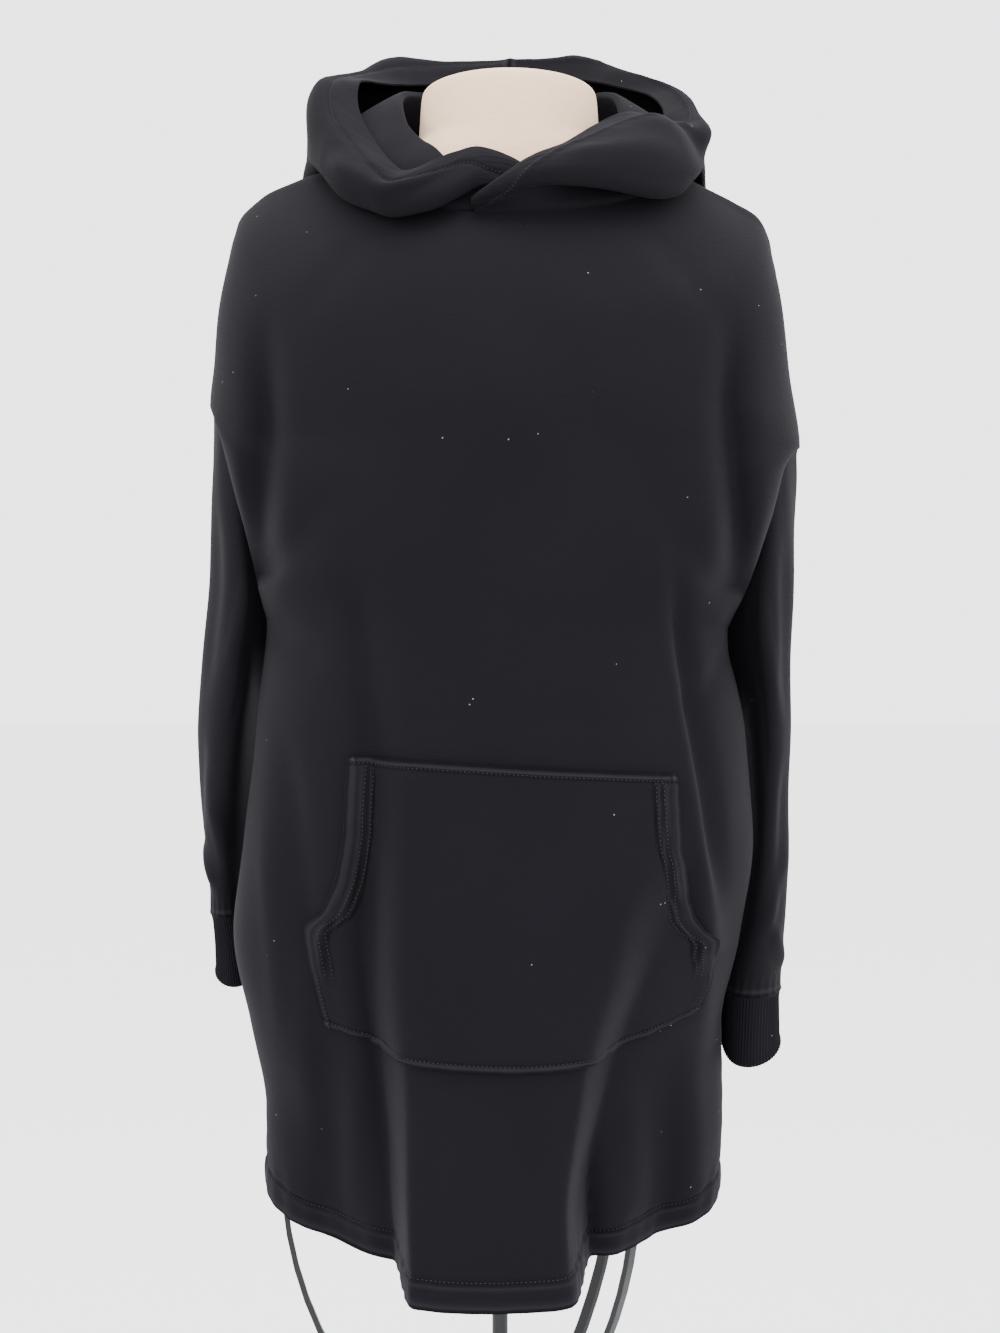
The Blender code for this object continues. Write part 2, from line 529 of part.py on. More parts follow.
def hood_grid(side, table, cells, surface, body_normals):
    sign = 1 if side == "left" else -1
    first, last = table[0][0], 180.0
    spread = np.linspace(0, 1, cells[0] + 1)
    angles = first + (last - first) * spread
    last_step = len(HOOD_POINTS) + 2
    steps = np.linspace(0, last_step, HOOD_FINE + 1)
    turn = (HOOD_STAND_STEPS[-1] + 1) * HOOD_FINE // last_step
    columns = []
    for angle in angles:
        def at(name):
            return float(look_up(table, HOOD_COLUMNS, name, angle))

        seam = neckline_point(sign * angle)
        seam_r = math.hypot(seam[0] - NECK_CENTRE[0], seam[1] - NECK_CENTRE[1]) + HOOD_OUTSET
        up = body_normals[int(np.argmin(((surface - seam) ** 2).sum(axis=1)))]
        outward = 1.0
        if side == "right":
            outward = ease((angle - CROSS_ANGLES[0]) / (CROSS_ANGLES[1] - CROSS_ANGLES[0]))
            seam_r -= CROSS_STEP * (1 - outward)
        heading = math.atan2(seam[0] - NECK_CENTRE[0], -(seam[1] - NECK_CENTRE[1]))
        out = outward * (up[0] * math.sin(heading) - up[1] * math.cos(heading))
        radii = [seam_r + out * HOOD_FOOT, seam_r + out * HOOD_RISE]
        heights = [seam[2] + up[2] * HOOD_FOOT, seam[2] + up[2] * HOOD_RISE]
        folded = min(1, (at("turn_r") - at("rim_r")) / RIM_FOLD)
        for point in HOOD_POINTS:
            radii.append(at(point + "_r"))
            heights.append(at(point + "_z") + (folded * TURN_LIFT if point == "turn" else 0))
            if point == "rim":
                radii.append(radii[-1] + folded * RIM_OVER[0])
                heights.append(heights[-1] + folded * RIM_OVER[1])
        keys = np.arange(len(radii))
        straight = steps <= HOOD_STAND_STEPS[-1]
        r = np.where(straight, np.interp(steps, keys, radii), smooth(keys, radii, steps))
        z = np.where(straight, np.interp(steps, keys, heights), smooth(keys, heights, steps))
        column_points = np.stack([NECK_CENTRE[0] + r * math.sin(heading),
                                  NECK_CENTRE[1] - r * math.cos(heading), z], axis=1)
        for _ in range(REST_PASSES):
            column_points[turn:] = rest_on(column_points[turn:], surface, body_normals, HOOD_CLEAR)
        lengths = np.linalg.norm(np.diff(column_points, axis=0), axis=1)
        weight = np.append(0, np.cumsum(lengths)) / lengths.sum() + steps / steps[-1]
        stand = np.interp(HOOD_STAND_STEPS, steps, weight)
        rest = np.linspace(stand[-1], weight[-1], cells[1] + 2 - len(stand))
        places = np.append(stand[:-1], rest)
        columns.append(np.stack([np.interp(places, weight, column_points[:, k]) for k in range(3)],
                                axis=1))
    return np.transpose(np.array(columns), (1, 0, 2))


# ---- pocket ---------------------------------------------------------------------------------------------
def pocket_outline():
    """The pocket's outline as points (x, z), down its right edge and up its left one."""
    downs = np.linspace(0, 1, 19)
    right = [(float(look_up(POCKET, POCKET_COLUMNS, "right_x", d)),
              float(look_up(POCKET, POCKET_COLUMNS, "right_z", d))) for d in downs]
    left = [(float(look_up(POCKET, POCKET_COLUMNS, "left_x", d)),
             float(look_up(POCKET, POCKET_COLUMNS, "left_z", d))) for d in downs]
    foot = []
    for t in np.linspace(0, 1, 17)[1:-1]:
        x = right[-1][0] + (left[-1][0] - right[-1][0]) * t
        z = right[-1][1] + (left[-1][1] - right[-1][1]) * t
        foot.append((x, z - POCKET_SAG * (1 - abs(2 * (t - POCKET_SAG_AT)) ** POCKET_SAG_POWER)))
    return right + foot + left[::-1]


def rest_on(points, surface, normals, least):
    """The same points, each at least that far out from the nearest point of a surface."""
    shape = points.shape
    flat, base, up = points.reshape(-1, 3).copy(), surface.reshape(-1, 3), normals.reshape(-1, 3)
    for k, point in enumerate(flat):
        near = int(np.argmin(((base - point) ** 2).sum(axis=1)))
        height = float((point - base[near]) @ up[near])
        if height < least and np.linalg.norm(point - base[near]) < REST_REACH:
            flat[k] = point + up[near] * (least - height)
    return flat.reshape(shape)


# ---- the pieces -------------------------------------------------------------------------------------------
def clear_scene():
    for thing in list(bpy.data.objects):
        bpy.data.objects.remove(thing)


def build_body():
    """Front and back panels; returns a finer surface of the whole body for what rests on it."""
    front, front_normals = body_grid("front", FRONT_CELLS, FRONT_ROWS)
    back, back_normals = body_grid("back", BACK_CELLS, BACK_ROWS)
    wall("dress_front", trimmed(front), front_normals, BLACK_FLEECE)
    wall("dress_back", trimmed(back), back_normals, BLACK_FLEECE)
    build_pocket(front, front_normals)
    surface, normals = [], []
    for face in ("front", "back"):
        grid, outward = body_grid(face, FINE_CELLS, FINE_ROWS)
        surface.append(grid.reshape(-1, 3))
        normals.append(outward.reshape(-1, 3))
    return np.concatenate(surface), np.concatenate(normals)


def build_pocket(front, normals):
    """The pocket is the part of the front panel inside its outline, moved out."""
    middle_z = front[:, FRONT_CELLS // 2, 2]
    rows = np.flatnonzero((middle_z > POCKET_BAND[0]) & (middle_z < POCKET_BAND[1]))
    part = slice(rows[0], rows[-1] + 1)
    pocket = wall("pocket", front[part] + normals[part] * POCKET_LIFT, normals[part], BLACK_FLEECE)
    outline = pocket_outline()
    count = len(outline)
    points = [(x, y, z) for y in POCKET_REACH for x, z in outline]
    faces = [tuple(range(count)), tuple(range(count, 2 * count))[::-1]]
    faces += [(k, (k + 1) % count, count + (k + 1) % count, count + k) for k in range(count)]
    cutter = add_object("pocket_cutter", points, faces, BLACK_FLEECE)
    cutter.hide_render = True
    cutter.display_type = "WIRE"
    cut = pocket.modifiers.new("outline", "BOOLEAN")
    cut.operation = "INTERSECT"
    cut.solver = "EXACT"
    cut.object = cutter


def build_sleeves():
    for side, table in (("right", RIGHT_SLEEVE), ("left", LEFT_SLEEVE)):
        facing = -1 if side == "right" else 1
        grid = sleeve_grid(side, table)
        wall("sleeve_" + side, grid, facing * grid_normals(grid, True), BLACK_FLEECE, closed=True)
        grid = cuff_grid(side, table)
        wall("cuff_" + side, grid, facing * grid_normals(grid, True), BLACK_FLEECE, closed=True)


def build_hood(surface, body_normals):
    for side, table in (("right", RIGHT_HOOD), ("left", LEFT_HOOD)):
        grid = hood_grid(side, table, HOOD_SIZE, surface, body_normals)
        normals = grid_normals(grid)
        grid[:, -1, 0] += TRIM * (1 if side == "left" else -1)
        wall("hood_" + side, grid, normals, BLACK_FLEECE)


def oval(half_x, front_y, back_y, roundness, z):
    points = []
    for k in range(TORSO_CELLS):
        angle = 2 * math.pi * k / TORSO_CELLS
        s, c = math.sin(angle), math.cos(angle)
        reach = -front_y if c > 0 else back_y
        points.append((half_x * math.copysign(abs(s) ** (2 / roundness), s),
                       -math.copysign(abs(c) ** (2 / roundness), c) * reach, z))
    return points


def shoulder_ring(level, share):
    """A ring of the form's shoulders: the cloth's own ring there, drawn in."""
    points = []
    for k in range(TORSO_CELLS):
        angle = 2 * math.pi * k / TORSO_CELLS
        row = body_row(level, "front" if math.cos(angle) >= 0 else "back")
        x, y, z = row[int(round((1 + math.sin(angle)) / 2 * (len(row) - 1)))]
        points.append((x * share, y * share * SHOULDER_DEPTH, z - CLOTH / 2))
    return points


def circle(centre, radius, z, count=TORSO_CELLS):
    turns = [2 * math.pi * k / count for k in range(count)]
    return [(centre[0] + radius * math.sin(t), centre[1] - radius * math.cos(t), z) for t in turns]


def build_torso(surface, body_normals):
    rings = [circle(FORM_NECK, radius, z) for radius, z in NECK_RINGS]
    rings += [shoulder_ring(level, share) for level, share in SHOULDER_RINGS]
    rings += [oval(half_x, front_y, back_y, roundness, z)
              for z, half_x, front_y, back_y, roundness in TORSO_RINGS]
    rings = np.array(rings)
    under = rings[len(NECK_RINGS):]
    rings[len(NECK_RINGS):] = -rest_on(-under, -surface, body_normals, TORSO_CLEAR)
    solid_of_rings("form_torso", rings, LINEN)


def build_stand():
    solid_of_rings("form_plate", [oval(*PLATE, PLATE_TOP_Z), oval(*PLATE, PLATE_FOOT_Z)], BLACK_METAL)
    for number, (foot_x, foot_y) in enumerate(RIB_FEET, 1):
        build_rib(number, foot_x, foot_y)
    collar = ((COLLAR_RADIUS, COLLAR_TOP_Z), (COLLAR_RADIUS, COLLAR_FOOT_Z))
    turned("form_collar", collar, POLE_RADIUS + SEAM)
    turned("form_pole", ((POLE_RADIUS, PLATE_FOOT_Z - SEAM), (POLE_RADIUS, BASE_HEIGHT + SEAM)))
    turned("form_base", BASE_PROFILE)


def turned(name, profile, bore=None):
    """A solid turned on the pole's axis from (radius, z) points, with a round bore if given."""
    rings = [circle((0, 0), r, z) for r, z in profile]
    if bore is None:
        return solid_of_rings(name, rings, BLACK_METAL, 30)
    rings = np.array(rings + [circle((0, 0), bore, z) for _, z in reversed(profile)])
    rows, count = rings.shape[:2]
    faces = []
    for i in range(rows):
        for j in range(count):
            a, b = i * count + j, i * count + (j + 1) % count
            c, d = ((i + 1) % rows) * count + (j + 1) % count, ((i + 1) % rows) * count + j
            faces.append((a, b, c, d))
    return add_object(name, rings.reshape(-1, 3), faces, BLACK_METAL, 30)


def build_rib(number, foot_x, foot_y):
    """A flat bar from the plate's underside down and in to the collar on the pole."""
    reach = math.hypot(foot_x, foot_y)
    out = np.array([foot_x, foot_y]) / reach
    turn = math.acos(1 - (reach - COLLAR_RADIUS - RIB_THICKNESS) / RIB_BEND_RADIUS)
    path = [(reach - inside, z) for inside, z in RIB_TOP]
    for k in range(RIB_BEND_CELLS + 1):
        a = turn * k / RIB_BEND_CELLS
        path.append((reach - RIB_BEND_RADIUS * (1 - math.cos(a)),
                     RIB_BEND_TOP_Z - RIB_BEND_RADIUS * math.sin(a)))
    path = np.array(path)
    slope = unit(np.gradient(path, axis=0))
    across = np.array([-out[1], out[0], 0]) * RIB_WIDTH / 2
    rings = []
    for (r, z), (dr, dz) in zip(path, slope):
        middle = np.array([out[0] * r, out[1] * r, z])
        normal = np.array([out[0] * -dz, out[1] * -dz, dr]) * RIB_THICKNESS / 2
        rings.append([middle + across + normal, middle - across + normal,
                      middle - across - normal, middle + across - normal])
    solid_of_rings("form_rib_%d" % number, rings, BLACK_METAL)


def main():
    clear_scene()
    surface, body_normals = build_body()
    build_sleeves()
    build_hood(surface, body_normals)
    build_torso(surface, body_normals)
    build_stand()


main()
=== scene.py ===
import math

import bmesh
import bpy
import numpy as np
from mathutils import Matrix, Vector
from mathutils.bvhtree import BVHTree


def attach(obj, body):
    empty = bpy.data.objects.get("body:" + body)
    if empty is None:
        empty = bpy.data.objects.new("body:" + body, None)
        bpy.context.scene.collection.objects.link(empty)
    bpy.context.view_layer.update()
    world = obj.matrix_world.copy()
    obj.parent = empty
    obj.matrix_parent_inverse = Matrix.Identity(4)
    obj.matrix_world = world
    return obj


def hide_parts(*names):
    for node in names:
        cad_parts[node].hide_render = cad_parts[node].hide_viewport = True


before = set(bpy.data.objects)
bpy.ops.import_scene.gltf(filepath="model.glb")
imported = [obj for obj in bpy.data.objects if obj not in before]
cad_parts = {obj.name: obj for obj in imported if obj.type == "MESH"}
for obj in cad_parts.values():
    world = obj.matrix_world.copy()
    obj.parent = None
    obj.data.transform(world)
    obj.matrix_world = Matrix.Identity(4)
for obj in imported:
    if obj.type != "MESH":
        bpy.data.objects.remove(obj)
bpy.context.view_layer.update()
print("frame loaded")

# the dress's own sizes, in metres, as on its solids
cloth = 0.0020
seamGap = 0.0003
neckCentre = (0.008, -0.030)
stitchLook = {"pitch": 0.0032, "length": 0.0024, "radius": 0.00042}
restReach = 0.080      # how deep a point may lie in the body before it is left alone


def column(table, columns, name):
    return np.array([row[columns.index(name)] for row in table], float)


def smooth(keys, values, at):
    keys, values, at = np.asarray(keys, float), np.asarray(values, float), np.asarray(at, float)
    if keys[0] > keys[-1]:
        keys, values = keys[::-1], values[::-1]
    steps, rises = np.diff(keys), np.diff(values)
    slopes = rises / steps
    tangents = np.zeros_like(values)
    for i in range(1, len(values) - 1):
        if slopes[i - 1] * slopes[i] > 0:
            heavy, light = 2 * steps[i] + steps[i - 1], steps[i] + 2 * steps[i - 1]
            tangents[i] = (heavy + light) / (heavy / slopes[i - 1] + light / slopes[i])
    tangents[0], tangents[-1] = slopes[0], slopes[-1]
    at = np.clip(at, keys[0], keys[-1])
    cell = np.clip(np.searchsorted(keys, at, side="right") - 1, 0, len(steps) - 1)
    t = (at - keys[cell]) / steps[cell]
    return (values[cell] * (1 + 2 * t) * (1 - t) ** 2 + tangents[cell] * steps[cell] * t * (1 - t) ** 2
            + values[cell + 1] * t * t * (3 - 2 * t) + tangents[cell + 1] * steps[cell] * t * t * (t - 1))


def reader(table, columns, at):
    # gives any named column of a table where its first column has the value at
    keys = column(table, columns, columns[0])
    return lambda name: smooth(keys, column(table, columns, name), at)


def ease(t):
    t = np.clip(t, 0.0, 1.0)
    return t * t * (3 - 2 * t)


def unit(vectors):
    return vectors / np.maximum(np.linalg.norm(vectors, axis=-1, keepdims=True), 1e-12)


def gridNormals(grid, closed=False):
    if closed:
        along = np.roll(grid, -1, axis=1) - np.roll(grid, 1, axis=1)
    else:
        along = np.gradient(grid, axis=1)
    down = np.gradient(grid, axis=0)
    return unit(np.cross(down, along))


def restOn(points, surface, normals, least):
    shape = points.shape
    flat, base, up = points.reshape(-1, 3).copy(), surface.reshape(-1, 3), normals.reshape(-1, 3)
    for k, point in enumerate(flat):
        near = int(np.argmin(((base - point) ** 2).sum(axis=1)))
        height = float((point - base[near]) @ up[near])
        if height < least and np.linalg.norm(point - base[near]) < restReach:
            flat[k] = point + up[near] * (least - height)
    return flat.reshape(shape)


def operator(operation, swap=False):
    def made(self, other):
        pair = (other, self) if swap else (self, other)
        return self.paint.node("ShaderNodeMath", {"operation": operation}, {0: pair[0], 1: pair[1]})
    return made


class Maths:      # wraps a socket
    def __init__(self, paint, socket):
        self.paint, self.socket = paint, socket

    __add__, __radd__ = operator("ADD"), operator("ADD", True)
    __sub__, __rsub__ = operator("SUBTRACT"), operator("SUBTRACT", True)
    __mul__, __rmul__ = operator("MULTIPLY"), operator("MULTIPLY", True)
    __gt__, __lt__ = operator("GREATER_THAN"), operator("LESS_THAN")


class Paint:
    def __init__(self, name):
        self.material = bpy.data.materials.new(name)
        self.material.use_nodes = True
        self.tree = self.material.node_tree
        self.shader = self.tree.nodes["Principled BSDF"]

    def put(self, socket, value):
        if isinstance(value, Maths):
            self.tree.links.new(value.socket, socket)
        else:
            socket.default_value = value

    def feed(self, name, value):
        self.put(self.shader.inputs[name], value)

    def node(self, kind, settings, inputs, output=0):
        made = self.tree.nodes.new(kind)
        for name, value in settings.items():
            setattr(made, name, value)
        for name, value in inputs.items():
            self.put(made.inputs[name], value)
        return Maths(self, made.outputs[output])

    def mix(self, factor, first, second):
        return self.node("ShaderNodeMix", {"data_type": "RGBA"}, {0: factor, 6: first, 7: second}, 2)

    def place(self, scale=(1, 1, 1)):
        where = self.node("ShaderNodeTexCoord", {}, {}, "Object")
        return self.node("ShaderNodeVectorMath", {"operation": "MULTIPLY"}, {0: where, 1: scale})

    def noise(self, vector, scale, detail=3.0, rough=0.5):
        return self.node("ShaderNodeTexNoise", {}, {"Vector": vector, "Scale": scale, "Detail": detail,
                                                   "Roughness": rough}, "Fac")

    def clamped(self, value):
        return self.node("ShaderNodeClamp", {}, {"Value": value})

    def bump(self, height, strength, distance):
        made = self.node("ShaderNodeBump", {}, {"Height": height, "Strength": strength,
                                                "Distance": distance}, "Normal")
        self.feed("Normal", made)

    def fix(self, **values):
        for name, value in values.items():
            self.shader.inputs[name].default_value = value


def fleecePaint():
    # edge is a painted highlight colour for turned edges; gap is a painted shade colour for seam gaps and
    # stitch grooves
    look = {"dark": (0.0024, 0.0020, 0.0031, 1), "light": (0.0046, 0.0039, 0.0056, 1),
            "edge": (0.015, 0.014, 0.018, 1), "gap": (0.0004, 0.0004, 0.0006, 1),
            "lint": (0.16, 0.16, 0.17, 1), "sheen": (0.62, 0.65, 0.80, 1)}
    paint = Paint("black_fleece")
    where = paint.place()
    patches = paint.noise(where, 9.0, 4.0)
    nap = paint.noise(paint.place((1.0, 1.0, 1.7)), 520.0, 3.0, 0.7)
    courses = paint.noise(paint.place((90.0, 90.0, 760.0)), 1.0, 2.0, 0.6)
    colour = paint.mix(patches * 0.5 + nap * 0.35 + courses * 0.25, look["dark"], look["light"])
    # painted highlight on turned edges (values above 0) and painted shade in seam gaps and along stitching
    # (values below 0), from a per-point attribute
    shadeAndHighlight = paint.node("ShaderNodeAttribute", {"attribute_name": "shadeAndHighlight"}, {}, "Fac")
    colour = paint.mix(paint.clamped(shadeAndHighlight), colour, look["edge"])
    colour = paint.mix(paint.clamped(shadeAndHighlight * -1), colour, look["gap"])
    speck = paint.node("ShaderNodeTexVoronoi", {"feature": "F1"}, {"Vector": where, "Scale": 85.0},
                       "Distance")
    patchy = paint.noise(where, 26.0, 1.0)
    lint = (speck < 0.045) * (patchy > 0.60)
    paint.feed("Base Color", paint.mix(lint, colour, look["lint"]))
    paint.feed("Roughness", 0.86 + nap * 0.12)
    paint.bump(nap * 0.6 + courses * 0.8 + lint * 0.8, 0.30, 0.0010)
    paint.fix(**{"Sheen Weight": 0.014, "Sheen Roughness": 0.40, "Sheen Tint": look["sheen"],
                 "Specular IOR Level": 0.08})
    return paint.material


def threadPaint():
    look = {"dark": (0.006, 0.006, 0.009, 1), "light": (0.020, 0.020, 0.026, 1)}
    paint = Paint("black_thread")
    paint.feed("Base Color", paint.mix(paint.noise(paint.place(), 900.0, 1.0), look["dark"], look["light"]))
    paint.fix(**{"Roughness": 0.7, "Specular IOR Level": 0.25})
    return paint.material


def linenPaint():
    look = {"pale": (0.70, 0.50, 0.335, 1), "deep": (0.54, 0.365, 0.235, 1), "slub": (0.38, 0.25, 0.155, 1)}
    paint = Paint("linen")
    rows = paint.noise(paint.place((60.0, 60.0, 1400.0)), 1.0, 2.0)
    ends = paint.noise(paint.place((1400.0, 1400.0, 60.0)), 1.0, 2.0)
    patches = paint.noise(paint.place(), 14.0, 3.0)
    weave = rows * 0.5 + ends * 0.5
    colour = paint.mix(weave * 0.55 + patches * 0.45 - 0.05, look["pale"], look["deep"])
    slubs = paint.noise(paint.place((130.0, 130.0, 900.0)), 1.0, 2.0)
    paint.feed("Base Color", paint.mix((slubs > 0.69) * 0.5, colour, look["slub"]))
    paint.feed("Roughness", 0.80 + weave * 0.12)
    paint.bump(weave + (slubs > 0.69) * 0.6, 0.35, 0.0010)
    paint.fix(**{"Sheen Weight": 0.10})
    return paint.material


def metalPaint():
    look = {"dark": (0.005, 0.005, 0.006, 1), "light": (0.014, 0.014, 0.015, 1)}
    paint = Paint("black_metal")
    speckle = paint.noise(paint.place(), 620.0, 2.0)
    wear = paint.noise(paint.place(), 22.0, 4.0)
    paint.feed("Base Color", paint.mix(wear * 0.8, look["dark"], look["light"]))
    paint.feed("Roughness", 0.46 + wear * 0.22)
    paint.bump(speckle, 0.12, 0.0006)
    paint.fix(**{"Specular IOR Level": 0.25})
    return paint.material


paints = {"fleece": fleecePaint(), "thread": threadPaint(), "linen": linenPaint(), "metal": metalPaint()}
print("materials made")


def addObject(name, data):
    made = bpy.data.objects.new(name, data)
    bpy.context.scene.collection.objects.link(made)
    return made


def addMesh(name, vertices, faces, paint, smoothAngle=50, shadeAndHighlight=None):
    mesh = bpy.data.meshes.new(name)
    mesh.from_pydata([tuple(v) for v in vertices], [], faces)
    work = bmesh.new()
    work.from_mesh(mesh)
    bmesh.ops.recalc_face_normals(work, faces=work.faces[:])
    work.to_mesh(mesh)
    work.free()
    mesh.shade_smooth()
    mesh.set_sharp_from_angle(angle=math.radians(smoothAngle))
    mesh.materials.append(paint)
    # a per-point attribute of painted shade and painted highlight for the fleece's colour
    if shadeAndHighlight is not None:
        mesh.attributes.new("shadeAndHighlight", "FLOAT", "POINT").data.foreach_set("value", shadeAndHighlight)
    return addObject(name, mesh)


def shell(name, grid, normals, closed=False, thickness=cloth, shadeAndHighlight=None):
    # outer and inner faces of the cloth, its edges rounded by one middle row of points
    rows, cols = grid.shape[:2]
    layers = [grid + normals * thickness / 2, grid - normals * thickness / 2]
    count = rows * cols
    wrap = cols if closed else cols - 1
    faces = []
    for i in range(rows - 1):
        for j in range(wrap):
            a, b = i * cols + j, i * cols + (j + 1) % cols
            faces.append((a, b, b + cols, a + cols))
            faces.append((count + a + cols, count + b + cols, count + b, count + a))
    rim = list(range(cols))
    if not closed:
        rim += [i * cols + cols - 1 for i in range(1, rows)]
        rim += [(rows - 1) * cols + j for j in range(cols - 2, -1, -1)]
        rim += [i * cols for i in range(rows - 2, 0, -1)]
        loops = [rim]
    else:
        loops = [rim, [(rows - 1) * cols + j for j in rim]]
    points = [layers[0].reshape(-1, 3), layers[1].reshape(-1, 3)]
    flat = grid.reshape(-1, 3)
    # painted shade and highlight values, carried onto the rounded edge points as well
    paintedShadeAndHighlight = np.zeros(count) if shadeAndHighlight is None else np.asarray(shadeAndHighlight).reshape(-1)
    everyShadeAndHighlight = [paintedShadeAndHighlight, paintedShadeAndHighlight]
    extra = 2 * count
    for loop in loops:
        spots = flat[loop]
        inside = np.array([flat[k + (cols if k < cols else -cols)] if (k < cols or k >= count - cols) else
                           flat[k + (1 if k % cols == 0 else -1)] for k in loop])
        points.append(spots + unit(spots - inside) * thickness * 0.32)
        for n, k in enumerate(loop):
            m = (n + 1) % len(loop)
            faces.append((k, loop[m], extra + m, extra + n))
            faces.append((extra + n, extra + m, count + loop[m], count + k))
        extra += len(loop)
        everyShadeAndHighlight.append(paintedShadeAndHighlight[loop])
    return addMesh(name, np.concatenate(points), faces, paints["fleece"], shadeAndHighlight=np.concatenate(everyShadeAndHighlight))


def stitches(name, lines, width=1.0):
    # one lozenge of thread for each stitch along lines of (points, normals)
    points, faces = [], []
    size = stitchLook
    for line, up in lines:
        lengths = np.append(0, np.cumsum(np.linalg.norm(np.diff(line, axis=0), axis=1)))
        for at in np.arange(size["pitch"] / 2, lengths[-1], size["pitch"]):
            ends = [np.array([np.interp(at + d * size["length"] / 2, lengths, line[:, k])
                              for k in range(3)]) for d in (-1, 1)]
            high = unit(np.array([np.interp(at, lengths, up[:, k]) for k in range(3)]))
            along = unit(ends[1] - ends[0])
            side = np.cross(along, high)
            middle, r = (ends[0] + ends[1]) / 2 + high * 0.0001, size["radius"] * width
            base = len(points)
            points += [ends[0] - high * r * 0.6, ends[1] - high * r * 0.6,
                       middle + side * r, middle + high * r, middle - side * r, middle - high * r]
            faces += [(base, base + 2 + k, base + 2 + (k + 1) % 4) for k in range(4)]
            faces += [(base + 1, base + 2 + (k + 1) % 4, base + 2 + k) for k in range(4)]
    return addMesh(name, points, faces, paints["thread"], 180)


def spaced(points, count, edgeSteps=()):
    # the same curve again: short cells by its two ends, even ones between
    lengths = np.append(0, np.cumsum(np.linalg.norm(np.diff(points, axis=0), axis=1)))
    at = np.linspace(0, lengths[-1], count + 1)
    if edgeSteps:
        ends, last = np.append(0, edgeSteps[:-1]), edgeSteps[-1]
        middle = np.linspace(last, lengths[-1] - last, count + 1 - 2 * len(edgeSteps))
        at = np.concatenate([ends, middle, lengths[-1] - ends[::-1]])
    return np.stack([np.interp(at, lengths, points[:, k]) for k in range(3)], axis=1)


def fromEdge(grid, edge):
    # distance of each point of a grid from one of its edges, measured over the cloth
    if edge in ("last", "first"):
        steps = np.linalg.norm(np.diff(grid, axis=0), axis=2)
        zero = np.zeros((1, grid.shape[1]))
        run = np.concatenate([zero, np.cumsum(steps, axis=0)])
        return run[-1] - run if edge == "last" else run
    steps = np.linalg.norm(np.diff(grid, axis=1), axis=2)
    zero = np.zeros((grid.shape[0], 1))
    run = np.concatenate([zero, np.cumsum(steps, axis=1)], axis=1)
    return run[:, -1:] - run if edge == "left" else run


def hem(distance, width, along, thick=0.0010, puckers=0.0004):
    # a turned edge: thicker up to its stitching, drawn in at the stitching, with faint puckers
    doubled = thick * ease((width - distance) / 0.003 + 0.5)
    groove = -0.0014 * np.exp(-((distance - width) / 0.0024) ** 2)
    pucker = puckers * np.exp(-((distance - width * 0.6) / width) ** 2)
    return doubled + groove + pucker * (np.sin(along * 310) + np.sin(along * 173 + 1.3))


def seamShadeAndHighlight(distance, width=None):
    # painted shade (below 0) in the gap at an edge and along its stitching, painted highlight (above 0) on
    # the turned edge
    dark = np.exp(-(distance / 0.0014) ** 2)
    light = np.exp(-((distance - 0.0034) / 0.0018) ** 2) * 0.5
    if width:
        dark = dark + 0.9 * np.exp(-((distance - width) / 0.0013) ** 2)
        light = light + 0.4 * np.exp(-((distance - width + 0.0030) / 0.0016) ** 2)
    return light - dark


def creases(table, u, v):
    # soft troughs and ridges along short lines in the plane of u and v
    shift = np.zeros_like(u)
    for u0, v0, u1, v1, width, depth in table:
        runU, runV = u1 - u0, v1 - v0
        long = runU * runU + runV * runV
        t = ((u - u0) * runU + (v - v0) * runV) / long
        near = np.clip(t, 0, 1)
        away = (u - u0 - near * runU) ** 2 + (v - v0 - near * runV) ** 2
        taper = ease(near / 0.3) * ease((1 - near) / 0.3) * 0.85 + 0.15
        shift += depth * taper * np.exp(-away / width ** 2)
    return shift


def unevenness(x, y, z):
    # the slight uneven lie of soft cloth
    return 0.0005 * (np.sin(31 * x + 17 * z + 1.1) + np.sin(23 * z - 37 * x + 9 * y + 0.4)
                     + 0.6 * np.sin(71 * x + 53 * z) + 0.6 * np.sin(61 * z - 47 * y + 2.0))


